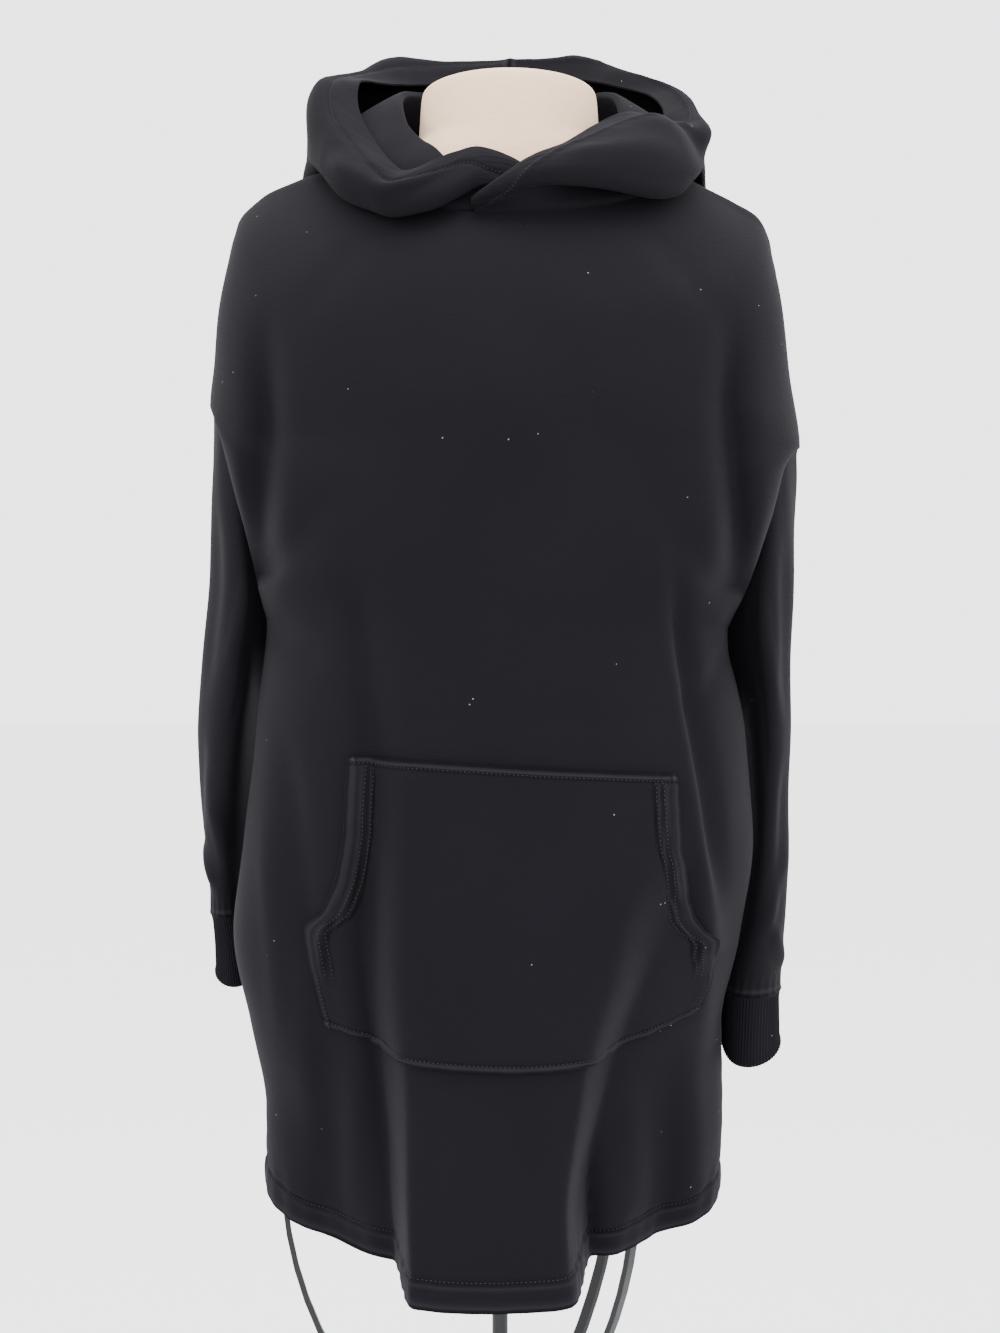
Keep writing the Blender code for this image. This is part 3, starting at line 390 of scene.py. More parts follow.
# body of the dress: one row for each level ring, from the neckline down to the hem
# The ring passes the side points (rightX and leftX at sideY) and the middle of front and back.
# roundFront and roundBack are the powers of the two half ovals.
ringColumns = ("level", "rightX", "leftX", "sideY", "rightZ", "leftZ", "frontY", "frontZ",
                "roundFront", "backY", "backZ", "roundBack")
rings = (
    (0.00, -0.127, 0.143, -0.030, 1.410, 1.408, -0.140, 1.345, 2.0, 0.075, 1.418, 2.0),
    (0.06, -0.158, 0.160, -0.028, 1.403, 1.399, -0.160, 1.318, 2.1, 0.092, 1.395, 2.1),
    (0.12, -0.195, 0.192, -0.025, 1.387, 1.383, -0.176, 1.285, 2.2, 0.106, 1.365, 2.2),
    (0.18, -0.214, 0.216, -0.022, 1.369, 1.367, -0.186, 1.255, 2.3, 0.113, 1.335, 2.3),
    (0.24, -0.228, 0.227, -0.020, 1.306, 1.325, -0.193, 1.225, 2.3, 0.117, 1.300, 2.3),
    (0.30, -0.233, 0.236, -0.020, 1.256, 1.244, -0.198, 1.195, 2.3, 0.118, 1.260, 2.3),
    (0.34, -0.236, 0.2445, -0.020, 1.222, 1.180, -0.200, 1.165, 2.3, 0.117, 1.220, 2.3),
    (0.48, -0.190, 0.186, -0.022, 1.040, 1.030, -0.206, 1.035, 2.3, 0.108, 1.030, 2.1),
    (0.57, -0.197, 0.197, -0.036, 0.950, 0.945, -0.211, 0.950, 2.3, 0.112, 0.945, 2.0),
    (0.65, -0.204, 0.203, -0.042, 0.870, 0.865, -0.207, 0.868, 2.3, 0.126, 0.870, 1.8),
    (0.74, -0.213, 0.193, -0.044, 0.790, 0.785, -0.195, 0.785, 2.2, 0.138, 0.790, 1.8),
    (0.82, -0.202, 0.179, -0.042, 0.718, 0.715, -0.180, 0.700, 2.1, 0.146, 0.715, 1.9),
    (0.91, -0.189, 0.180, -0.040, 0.650, 0.645, -0.166, 0.622, 2.0, 0.150, 0.640, 2.0),
    (1.00, -0.189, 0.177, -0.040, 0.585, 0.580, -0.156, 0.547, 2.0, 0.152, 0.575, 2.0),
)

# armhole seam from its top (0) round the front to the underarm (1)
armholeColumns = ("along", "rightX", "leftX", "frontY", "backY", "rightZ", "leftZ")
armhole = (
    (0.00, -0.236, 0.2445, -0.020, -0.020, 1.222, 1.180),
    (0.28, -0.2235, 0.2270, -0.066, 0.036, 1.2020, 1.168),
    (0.52, -0.208, 0.2130, -0.082, 0.062, 1.150, 1.118),
    (0.78, -0.196, 0.1980, -0.066, 0.050, 1.085, 1.068),
    (1.00, -0.190, 0.1860, -0.022, -0.022, 1.040, 1.030),
)

# folds of the body: a soft ridge (+) or trough (-) along a line from top to bottom
# columns: topX, topZ, footX, footZ, width, depthTop, depthFoot
frontFolds = (
    (-0.103, 1.070, -0.086, 0.930, 0.020, 0.000, -0.008),
    (-0.086, 0.930, -0.092, 0.820, 0.016, -0.008, -0.018),
    (-0.092, 0.820, -0.077, 0.560, 0.015, -0.018, -0.004),
    (-0.135, 0.900, -0.128, 0.560, 0.026, 0.000, -0.016),
    (0.118, 1.090, 0.166, 0.790, 0.012, 0.000, 0.009),
    (0.190, 0.950, 0.178, 0.700, 0.013, 0.000, -0.010),
    (0.044, 0.720, 0.068, 0.545, 0.014, 0.000, -0.012),
    (0.120, 0.740, 0.124, 0.545, 0.024, 0.000, -0.026),
    (-0.182, 1.290, -0.176, 1.190, 0.013, 0.000, -0.020),
    (-0.176, 1.190, -0.186, 1.075, 0.014, -0.020, -0.030),
    (0.180, 1.290, 0.172, 1.200, 0.013, 0.000, -0.020),
    (0.172, 1.200, 0.184, 1.065, 0.014, -0.020, -0.030),
)
# the same columns
backFolds = (
    (-0.110, 1.180, -0.120, 0.575, 0.024, 0.000, 0.028),
    (-0.055, 1.120, -0.060, 0.575, 0.022, 0.000, -0.024),
    (0.005, 1.200, 0.004, 0.575, 0.030, 0.000, 0.034),
    (0.070, 1.120, 0.066, 0.575, 0.022, 0.000, -0.022),
    (0.118, 1.180, 0.124, 0.575, 0.022, 0.000, 0.022),
)

# the lobe that hangs straight down from the bust in the middle of the front
lobeColumns = ("z", "rightX", "leftX", "softness", "depth")
lobe = (
    (0.54, -0.069, 0.060, 0.010, 0.098),
    (0.61, -0.073, 0.056, 0.011, 0.084),
    (0.70, -0.079, 0.070, 0.014, 0.056),
    (0.80, -0.088, 0.100, 0.020, 0.030),
    (0.88, -0.090, 0.130, 0.028, 0.010),
    (0.96, -0.090, 0.140, 0.030, 0.000),
)

bodyLook = {
    "armholeLevels": (0.34, 0.48),    # its top, where the dropped shoulder seam ends, and the underarm
    "seamLook": 0.02,         # how far along a side seam its direction is taken
    "foldFade": 0.014,        # a fold ends over this height, where the next one of its line begins
    "frontCells": 168, "backCells": 130, "edgeSteps": (0.0012, 0.0026, 0.0045), "fine": 700,
    "frontRows": (56, 40, 84), "backRows": (44, 34, 70), "plainCells": 90,
    "hemLevel": 0.94, "hemRows": 18, "hemWidth": 0.0205,
    "seamDip": 0.0009, "pull": 0.00035,
}
# columns: x0, z0, x1, z1, width, depth
frontCreases = (
    (-0.186, 1.060, -0.120, 1.130, 0.012, -0.0030),
    (-0.184, 1.050, -0.110, 1.075, 0.013, 0.0026),
    (-0.186, 1.030, -0.125, 1.000, 0.012, -0.0030),
    (0.183, 1.045, 0.120, 1.110, 0.012, -0.0032),
    (0.183, 1.035, 0.128, 1.060, 0.012, 0.0024),
    (0.186, 1.020, 0.140, 0.960, 0.010, -0.0034),
    (-0.100, 1.330, -0.150, 1.260, 0.014, -0.0016),
    (0.110, 1.340, 0.165, 1.265, 0.014, -0.0018),
    (-0.165, 0.960, -0.140, 0.760, 0.012, -0.0040),
    (-0.180, 0.900, -0.165, 0.700, 0.010, 0.0030),
    (-0.150, 0.790, -0.140, 0.590, 0.013, 0.0040),
    (-0.110, 0.700, -0.112, 0.560, 0.010, 0.0030),
    (0.150, 0.870, 0.158, 0.700, 0.009, 0.0030),
    (0.100, 0.680, 0.104, 0.560, 0.012, 0.0035),
    (0.146, 0.720, 0.150, 0.570, 0.012, 0.0040),
    (-0.010, 0.700, -0.016, 0.560, 0.016, 0.0016),
    (0.020, 0.690, 0.024, 0.560, 0.012, -0.0018),
    (-0.048, 0.690, -0.046, 0.560, 0.010, -0.0020),
    (-0.060, 1.020, 0.020, 0.960, 0.022, -0.0012),
    (0.050, 1.040, 0.110, 0.980, 0.020, -0.0012),
    (0.128, 1.085, 0.172, 0.800, 0.008, -0.0090),
    (-0.108, 1.080, -0.092, 0.900, 0.009, -0.0050),
    (-0.075, 1.080, -0.066, 0.820, 0.014, 0.0030),
)
backCreases = (
    (-0.184, 1.050, -0.110, 1.140, 0.013, -0.0034),
    (-0.185, 1.035, -0.120, 1.060, 0.013, 0.0028),
    (-0.186, 1.010, -0.130, 0.960, 0.012, -0.0036),
    (0.183, 1.045, 0.112, 1.130, 0.013, -0.0034),
    (0.183, 1.030, 0.122, 1.050, 0.013, 0.0026),
    (0.184, 1.010, 0.130, 0.950, 0.012, -0.0034),
    (-0.090, 0.960, -0.100, 0.640, 0.010, -0.0040),
    (0.100, 0.940, 0.096, 0.620, 0.010, -0.0040),
    (-0.150, 0.880, -0.156, 0.600, 0.012, 0.0040),
    (0.150, 0.860, 0.152, 0.600, 0.012, 0.0040),
    (-0.030, 1.060, -0.034, 0.800, 0.012, 0.0020),
    (0.040, 1.040, 0.040, 0.760, 0.012, 0.0022),
    (-0.120, 1.250, -0.060, 1.180, 0.016, -0.0018),
    (0.120, 1.250, 0.070, 1.170, 0.016, -0.0018),
)


def armholeAt(side, face, along):
    at = reader(armhole, armholeColumns, along)
    return np.array([at(side + "X"), at(face + "Y"), at(side + "Z")])


def edgePoint(level, side, face):
    corner, underarm = bodyLook["armholeLevels"]
    if corner < level < underarm:
        return armholeAt(side, face, (level - corner) / (underarm - corner))
    ring = reader(rings, ringColumns, level)
    return np.array([ring(side + "X"), ring("sideY"), ring(side + "Z")])


def foldShift(folds, x, z):
    shift = np.zeros_like(x)
    for topX, topZ, footX, footZ, width, depthTop, depthFoot in folds:
        t = (topZ - z) / (topZ - footZ)
        fade = bodyLook["foldFade"] / (topZ - footZ)
        inside = ease((1 + fade - t) / fade)
        if depthTop:
            inside = inside * ease(t / fade)
        t = np.clip(t, 0, 1)
        middle = topX + (footX - topX) * t
        depth = depthTop + (depthFoot - depthTop) * ease(t)
        shift += depth * inside * np.exp(-((x - middle) / width) ** 2)
    return shift


def lobeShift(x, z):
    at = reader(lobe, lobeColumns, z)
    soft = at("softness")
    left = ease(0.5 + (at("leftX") - x) / (2 * soft))
    right = ease(0.5 + (x - at("rightX")) / (2 * soft))
    return at("depth") * left * right


def bodyRow(level, face, fine=240):
    ring = reader(rings, ringColumns, level)
    start, end = edgePoint(level, "right", face), edgePoint(level, "left", face)
    t = np.linspace(-math.pi / 2, math.pi / 2, fine + 1)
    power = 2 / ring("round" + face.capitalize())
    across = np.sign(np.sin(t)) * np.abs(np.sin(t)) ** power
    bulge = np.abs(np.cos(t)) ** power
    blend = (1 + across) / 2
    sideY = start[1] + (end[1] - start[1]) * blend
    sideZ = start[2] + (end[2] - start[2]) * blend
    x = (start[0] + end[0]) / 2 + (end[0] - start[0]) / 2 * across
    y = sideY + (ring(face + "Y") - sideY) * bulge
    z = sideZ + (ring(face + "Z") - sideZ) * bulge
    away = -1 if face == "front" else 1
    free = ease(bulge / 0.35)
    if face == "front":
        y = y + away * (foldShift(frontFolds, x, z) + lobeShift(x, z)) * free
    else:
        y = y + away * foldShift(backFolds, x, z) * free
    return np.stack([x, y, z], axis=1)


def fineLevels(rows):
    ends = (0, *bodyLook["armholeLevels"], bodyLook["hemLevel"], 1)
    counts = (*rows, bodyLook["hemRows"])
    runs = [np.linspace(a, b, n + 1)[:-1] for a, b, n in zip(ends, ends[1:], counts)]
    return np.append(np.concatenate(runs), 1)


def seamNormals(normals, levels, face):
    corner, underarm = bodyLook["armholeLevels"]
    reach = bodyLook["seamLook"]
    for side, edge, beside in (("right", 0, 1), ("left", -1, -2)):
        out = np.array([-1.0 if side == "right" else 1.0, 0, 0])
        for i, level in enumerate(levels):
            if corner < level < underarm:
                normals[i, edge] = normals[i, beside]
                continue
            first, last = (0, corner) if level <= corner else (underarm, 1)
            before, after = max(level - reach, first), min(level + reach, last)
            run = edgePoint(after, side, face) - edgePoint(before, side, face)
            normals[i, edge] = unit(np.cross(np.cross(run, out), run))
    return normals


def panel(face, cells, levels, edgeSteps=(), fine=240):
    grid = np.array([spaced(bodyRow(v, face, fine), cells, edgeSteps) for v in levels])
    normals = gridNormals(grid) * (1 if face == "front" else -1)
    return grid, seamNormals(normals, levels, face)


def plainBody():
    # the body's middle surface without its small creases, for what rests on it
    corner = bodyLook["armholeLevels"][0]
    levels = np.concatenate([np.linspace(0, corner, 31)[:-1], np.linspace(corner, 1, 36)])
    points, ups = [], []
    for face in ("front", "back"):
        grid, normals = panel(face, bodyLook["plainCells"], levels)
        points.append(grid.reshape(-1, 3))
        ups.append(normals.reshape(-1, 3))
    return np.concatenate(points), np.concatenate(ups)


bodyPoints, bodyUps = plainBody()


def dressedPanel(face, table, cells, rows):
    levels = fineLevels(rows)
    grid, normals = panel(face, cells, levels, bodyLook["edgeSteps"], bodyLook["fine"])
    x, z = grid[..., 0], grid[..., 2]
    right, left = fromEdge(grid, "right"), fromEdge(grid, "left")
    free = ease(np.minimum(right, left) / 0.020) * ease(fromEdge(grid, "first") / 0.030)
    shift = (creases(table, x, z) + unevenness(x, grid[..., 1], z)) * free
    shift += hem(fromEdge(grid, "last"), bodyLook["hemWidth"], right)
    for distance in (right, left):
        shift -= bodyLook["seamDip"] * np.exp(-(distance / 0.0028) ** 2)
        shift += bodyLook["pull"] * np.exp(-(distance / 0.012) ** 2) * np.sin(z * 260 + x * 40)
    grid = grid + normals * shift[..., None]
    again = gridNormals(grid) * (1 if face == "front" else -1)
    again[:, 0], again[:, -1] = normals[:, 0], normals[:, -1]
    again[:, 1], again[:, -2] = unit(normals[:, 1] + again[:, 1]), unit(normals[:, -2] + again[:, -2])
    # painted shade at the hem's and side seams' edges and stitching, painted highlight on the turned edges
    shadeAndHighlight = seamShadeAndHighlight(fromEdge(grid, "last"), bodyLook["hemWidth"]) + seamShadeAndHighlight(right) + seamShadeAndHighlight(left)
    return grid, unit(again), shadeAndHighlight


front, frontUps, frontShadeAndHighlight = dressedPanel("front", frontCreases, bodyLook["frontCells"],
                                           bodyLook["frontRows"])
back, backUps, backShadeAndHighlight = dressedPanel("back", backCreases, bodyLook["backCells"], bodyLook["backRows"])


def lineAt(grid, ups, distance, width, lift):
    # the line over a panel at a set distance from one edge, down its columns or rows
    line, up = [], []
    for j in range(distance.shape[1]):
        order = np.argsort(distance[:, j])
        at = distance[order, j]
        line.append([np.interp(width, at, grid[order, j, k]) for k in range(3)])
        up.append([np.interp(width, at, ups[order, j, k]) for k in range(3)])
    line, up = np.array(line), unit(np.array(up))
    return line + up * lift, up


def sewn(grid, ups, edge, width, rows=None):
    part = slice(None) if rows is None else slice(*rows)
    g, u = grid[part], ups[part]
    distance = fromEdge(g, edge)
    if edge in ("left", "right"):
        g, u, distance = g.transpose(1, 0, 2), u.transpose(1, 0, 2), distance.T
    return lineAt(g, u, distance, width, cloth / 2)


def trimEdges(grid, gap):
    out = grid.copy()
    out[:, 0] += unit(grid[:, 1] - grid[:, 0]) * gap
    out[:, -1] += unit(grid[:, -2] - grid[:, -1]) * gap
    return out


dressFront = shell("dress_front_cloth", trimEdges(front, seamGap), frontUps, shadeAndHighlight=frontShadeAndHighlight)
dressBack = shell("dress_back_cloth", trimEdges(back, seamGap), backUps, shadeAndHighlight=backShadeAndHighlight)
frontStitches = stitches("dress_front_stitches",
                         [sewn(front, frontUps, "last", bodyLook["hemWidth"])])
backStitches = stitches("dress_back_stitches", [sewn(back, backUps, "last", bodyLook["hemWidth"])])
print("front and back made")


# pocket: its side edges on the front, from the top (0) to the bottom corners (1)
pocketColumns = ("down", "rightX", "leftX", "rightZ", "leftZ")
pocket = (
    (0.00, -0.110, 0.128, 0.934, 0.920),
    (0.22, -0.112, 0.128, 0.884, 0.878),
    (0.40, -0.118, 0.133, 0.848, 0.842),
    (0.52, -0.128, 0.142, 0.822, 0.812),
    (0.60, -0.141, 0.160, 0.806, 0.790),
    (0.80, -0.139, 0.160, 0.772, 0.756),
    (1.00, -0.131, 0.151, 0.738, 0.728),
)
pocketLook = {
    "across": 120, "down": 92, "lift": cloth + 0.0009,
    "sag": 0.022,             # how far the lowest point of the lower edge hangs under its corners
    "sagAt": 0.42,            # and its place between them, from the right
    "sagPower": 2.4,
    "hemWidth": 0.0195, "topHem": 0.0052, "footHem": 0.0046, "sideHem": 0.0046,
    "secondLine": 0.0058,     # from the first stitch line of a hand opening to its second
    "gape": 0.0030, "gapeWidth": 0.022,
    "openTop": 0.012,         # where a hand opening begins under the top edge
    "openFoot": 0.030,        # and ends over the lower one
}
# columns: x0, z0, x1, z1, width, depth
pocketCreases = (
    (-0.100, 0.880, -0.094, 0.760, 0.008, -0.0022),
    (-0.070, 0.900, -0.074, 0.740, 0.010, 0.0014),
    (0.075, 0.860, 0.086, 0.740, 0.014, 0.0014),
    (0.020, 0.900, 0.034, 0.760, 0.020, -0.0010),
    (-0.030, 0.860, -0.020, 0.740, 0.018, 0.0010),
)


def pocketFoot(t):
    return pocketLook["sag"] * (1 - abs(2 * (t - pocketLook["sagAt"])) ** pocketLook["sagPower"])


def pocketGrid():
    tree = BVHTree.FromPolygons([tuple(p) for p in front.reshape(-1, 3)],
                                [(i * front.shape[1] + j, i * front.shape[1] + j + 1,
                                  (i + 1) * front.shape[1] + j + 1, (i + 1) * front.shape[1] + j)
                                 for i in range(front.shape[0] - 1) for j in range(front.shape[1] - 1)])
    downs = np.concatenate([np.linspace(0, 0.06, 9)[:-1], np.linspace(0.06, 0.93, pocketLook["down"] - 16),
                            np.linspace(0.93, 1, 9)[1:]])
    edge = np.array([0, 0.004, 0.010, 0.018, 0.028, 0.040])
    acrosses = np.concatenate([edge, np.linspace(0.052, 0.948, pocketLook["across"] - 12), 1 - edge[::-1]])
    grid = np.zeros((len(downs), len(acrosses), 3))
    for i, down in enumerate(downs):
        at = reader(pocket, pocketColumns, down)
        ends = [[at(side + axis) for axis in "XZ"] for side in ("right", "left")]
        for j, t in enumerate(acrosses):
            x = ends[0][0] + (ends[1][0] - ends[0][0]) * t
            z = ends[0][1] + (ends[1][1] - ends[0][1]) * t - pocketFoot(t) * ease(down * 1.1) * down
            hit = tree.ray_cast(Vector((x, -0.6, z)), Vector((0, 1, 0)))[0]
            grid[i, j] = (x, hit[1] if hit else grid[i, j - 1, 1], z)
    return grid


def softened(grid, times):
    # evens out the steps of a grid taken from a mesh, its rim kept
    for _ in range(times):
        inner = (grid[:-2, 1:-1] + grid[2:, 1:-1] + grid[1:-1, :-2] + grid[1:-1, 2:]) / 4
        grid[1:-1, 1:-1, 1] = (grid[1:-1, 1:-1, 1] + inner[..., 1]) / 2
    return grid


flatPocket = softened(pocketGrid(), 3)
pocketUps = gridNormals(flatPocket)
right, left = fromEdge(flatPocket, "right"), fromEdge(flatPocket, "left")
top, foot = fromEdge(flatPocket, "first"), fromEdge(flatPocket, "last")
openings = (ease(top / pocketLook["openTop"])
            * ease((foot - pocketLook["openFoot"]) / pocketLook["openFoot"]))
shift = pocketLook["lift"] + creases(pocketCreases, flatPocket[..., 0], flatPocket[..., 2])
for side in (right, left):
    shift = shift + openings * (hem(side, pocketLook["hemWidth"], top, 0.0013)
                                + pocketLook["gape"] * np.exp(-(side / pocketLook["gapeWidth"]) ** 2))
    shift = shift - (1 - openings) * 0.0005 * np.exp(-((side - pocketLook["sideHem"]) / 0.0022) ** 2)
shift += hem(top, pocketLook["topHem"], right, 0.0011) * ease(np.minimum(right, left) / 0.006)
shift += hem(foot, pocketLook["footHem"], right, 0.0010) * ease(np.minimum(right, left) / 0.006)
shift = np.maximum(shift, cloth + 0.0003)
pocketPoints = flatPocket + pocketUps * shift[..., None]
pocketUps = gridNormals(pocketPoints)
# painted shade at the pocket's edges and stitch lines, painted highlight on its turned edges
pocketShadeAndHighlight = seamShadeAndHighlight(top, pocketLook["topHem"]) + seamShadeAndHighlight(foot, pocketLook["footHem"])
for side in (right, left):
    pocketShadeAndHighlight = pocketShadeAndHighlight + openings * (seamShadeAndHighlight(side, pocketLook["hemWidth"])
                                            + seamShadeAndHighlight(side + 0.004, pocketLook["hemWidth"] - 0.0018))
    pocketShadeAndHighlight = pocketShadeAndHighlight + (1 - openings) * seamShadeAndHighlight(side, pocketLook["sideHem"])
pocketCloth = shell("pocket_cloth", pocketPoints, pocketUps, shadeAndHighlight=pocketShadeAndHighlight)
openRows = np.flatnonzero(openings[:, 3] > 0.4)
openSpan = (int(openRows[0]), int(openRows[-1]) + 1)
shutSpan = (int(openRows[-1]), len(pocketPoints))
pocketLines = [sewn(pocketPoints, pocketUps, "first", pocketLook["topHem"]),
               sewn(pocketPoints, pocketUps, "last", pocketLook["footHem"])]
for side in ("right", "left"):
    for width in (pocketLook["hemWidth"], pocketLook["hemWidth"] - pocketLook["secondLine"]):
        pocketLines.append(sewn(pocketPoints, pocketUps, side, width, openSpan))
    pocketLines.append(sewn(pocketPoints, pocketUps, side, pocketLook["sideHem"], shutSpan))
pocketStitches = stitches("pocket_stitches", pocketLines)
print("pocket made")


# sleeves: oval sections through a front, outer, back and inner point
sleeveColumns = ("z", "frontX", "frontY", "backX", "backY", "outerX", "innerX")
rightSleeve = (
    (1.20, -0.210, -0.080, -0.205, 0.066, -0.2385, -0.180),
    (1.08, -0.205, -0.080, -0.204, 0.070, -0.2405, -0.194),
    (1.00, -0.211, -0.074, -0.204, 0.074, -0.2475, -0.201),
    (0.94, -0.219, -0.066, -0.205, 0.078, -0.2505, -0.206),
    (0.87, -0.226, -0.050, -0.204, 0.086, -0.2475, -0.2065),
    (0.81, -0.228, -0.026, -0.204, 0.092, -0.2420, -0.2080),
    (0.76, -0.224, -0.012, -0.208, 0.074, -0.2400, -0.2050),
    (0.70, -0.217, -0.012, -0.216, 0.066, -0.2400, -0.2000),
)
leftSleeve = (
    (1.20, 0.216, -0.082, 0.206, 0.062, 0.2445, 0.180),
    (1.08, 0.211, -0.080, 0.204, 0.066, 0.2425, 0.189),
    (1.00, 0.214, -0.072, 0.203, 0.070, 0.2405, 0.195),
    (0.94, 0.217, -0.066, 0.202, 0.072, 0.2390, 0.2015),
    (0.87, 0.216, -0.062, 0.199, 0.072, 0.2370, 0.2045),
    (0.80, 0.212, -0.058, 0.197, 0.070, 0.2365, 0.1960),
    (0.73, 0.203, -0.052, 0.205, 0.048, 0.2330, 0.1850),
    (0.66, 0.200, -0.052, 0.206, 0.040, 0.2340, 0.1850),
)
sleeveLook = {
    "around": 96, "along": 130, "dip": 0.0008,
    "drop": (0.0008, 0.0008),     # how far the top edge lies under the armhole, least and extra
    "out": 0.0012,                # and out of it, at the underarm
    "blend": 0.30,                # share of the length where the armhole's line turns into the oval
    "turnLength": 0.25,           # what a whole turn is taken as in the creases
    "gathers": 23, "gatherHeight": 0.0005, "stitchAt": 0.0050,
}
cuffLook = {
    "seamZ": {"right": 0.7930, "left": 0.7320}, "rimZ": {"right": 0.7480, "left": 0.6900},
    "step": 0.0015,               # how far the cuff draws in from the sleeve
    "tilt": 0.014,                # how much lower the front of its rim hangs
    "ribs": 62, "cellsPerRib": 6, "along": 26, "height": 0.0009,
}
# columns: turn0, z0, turn1, z1, width, depth
sleeveCreases = {
    "right": (
        (0.10, 1.150, 0.12, 0.960, 0.012, 0.0040), (0.12, 0.960, 0.07, 0.820, 0.011, 0.0036),
        (0.30, 1.080, 0.22, 0.990, 0.010, -0.0040), (0.36, 1.060, 0.26, 0.930, 0.010, 0.0030),
        (0.18, 0.900, 0.30, 0.830, 0.010, -0.0036), (0.05, 0.860, 0.20, 0.815, 0.008, -0.0034),
        (0.86, 0.880, 0.98, 0.820, 0.010, -0.0034), (0.70, 1.100, 0.80, 0.960, 0.013, -0.0036),
        (0.80, 0.960, 0.74, 0.830, 0.012, 0.0034), (0.94, 1.100, 0.92, 0.930, 0.013, 0.0026),
    ),
    "left": (
        (0.14, 1.120, 0.13, 0.940, 0.012, 0.0036), (0.13, 0.940, 0.17, 0.780, 0.011, 0.0034),
        (0.31, 1.070, 0.22, 0.960, 0.010, -0.0040), (0.35, 1.040, 0.27, 0.900, 0.010, 0.0030),
        (0.10, 0.860, 0.24, 0.780, 0.010, -0.0034), (0.20, 0.790, 0.04, 0.750, 0.008, -0.0032),
        (0.84, 0.840, 0.97, 0.770, 0.010, -0.0034), (0.70, 1.060, 0.78, 0.900, 0.013, -0.0034),
        (0.78, 0.920, 0.72, 0.770, 0.012, 0.0030), (0.93, 1.060, 0.90, 0.860, 0.013, 0.0026),
    ),
}


def sleeveSection(table, z, turns, drawIn=0.0):
    at = reader(table, sleeveColumns, z)
    angle = 2 * math.pi * turns
    middleX, halfX = (at("outerX") + at("innerX")) / 2, (at("outerX") - at("innerX")) / 2
    middleY, halfY = (at("frontY") + at("backY")) / 2, (at("frontY") - at("backY")) / 2
    lean = (at("frontX") - at("backX")) / 2
    offset = (at("frontX") + at("backX")) / 2 - middleX
    halfX = halfX - np.sign(halfX) * drawIn
    halfY = halfY + drawIn
    x = middleX + halfX * np.cos(angle) + lean * np.sin(angle) + offset * np.sin(angle) ** 2
    y = middleY + halfY * np.sin(angle)
    return np.stack([x, y, z + 0 * angle], axis=-1)


def armholePoint(side, turn):
    if turn <= 0.5:
        return armholeAt(side, "front", 2 * turn)
    return armholeAt(side, "back", 2 * (1 - turn))


def sleeveGrid(side, table, turns, cells):
    top = np.array([armholePoint(side, t) for t in turns])
    out = 1 if side == "left" else -1
    under = ease((0.5 - np.abs(turns - 0.5)) / 0.5)
    top[:, 2] -= sleeveLook["drop"][0] + sleeveLook["drop"][1] * np.sin(np.pi * under)
    top[:, 0] += out * sleeveLook["out"] * under
    rows = []
    for w in np.concatenate([np.linspace(0, 0.03, 6)[:-1], np.linspace(0.03, 0.98, cells - 8),
                             np.linspace(0.98, 1, 5)[1:]]):
        z = top[:, 2] + (cuffLook["seamZ"][side] + seamGap - top[:, 2]) * w
        section = sleeveSection(table, z, turns)
        rows.append(section + (top - section) * np.array([1, 1, 0]) * (1 - ease(w / sleeveLook["blend"])))
    return np.array(rows)


def wrappedCreases(table, turns, z):
    # the table's creases once for each neighbouring turn, so that they run on round the sleeve
    length = sleeveLook["turnLength"]
    table = [(t0 * length, z0, t1 * length, z1, width, depth) for t0, z0, t1, z1, width, depth in table]
    return sum(creases(table, (turns + k) * length, z) for k in (-1, 0, 1))


def makeSleeve(side, table):
    facing = -1 if side == "right" else 1
    turns = np.arange(sleeveLook["around"]) / sleeveLook["around"]
    grid = sleeveGrid(side, table, turns, sleeveLook["along"])
    ups = facing * gridNormals(grid, True)
    fromTop, fromFoot = fromEdge(grid, "first"), fromEdge(grid, "last")
    spread = np.broadcast_to(turns, grid.shape[:2])
    free = ease(fromTop / 0.030) * ease(fromFoot / 0.014)
    shift = (wrappedCreases(sleeveCreases[side], spread, grid[..., 2])
             + 0.8 * unevenness(grid[..., 0], grid[..., 1], grid[..., 2])) * free
    shift -= sleeveLook["dip"] * np.exp(-(fromTop / 0.0026) ** 2)
    shift -= sleeveLook["dip"] * np.exp(-(fromFoot / 0.0024) ** 2)
    gathers = np.sin(spread * 2 * np.pi * sleeveLook["gathers"]) * sleeveLook["gatherHeight"]
    gathers = gathers * np.exp(-((fromFoot - 0.006) / 0.010) ** 2)
    inner = ease((np.abs(spread - 0.5) - 0.16) / 0.10)
    grid = grid + ups * (shift * (0.25 + 0.75 * inner) + gathers)[..., None]
    ups = facing * gridNormals(grid, True)
    # painted shade at the sleeve's top and cuff seams, painted highlight beside them
    made = shell("sleeve_%s_cloth" % side, grid, ups, True, shadeAndHighlight=seamShadeAndHighlight(fromTop) + seamShadeAndHighlight(fromFoot))
    wrap = np.concatenate([grid, grid[:, :1]], axis=1)
    lines = [sewn(wrap, np.concatenate([ups, ups[:, :1]], axis=1), "first",
                  sleeveLook["stitchAt"])]
    return made, stitches("sleeve_%s_stitches" % side, lines)


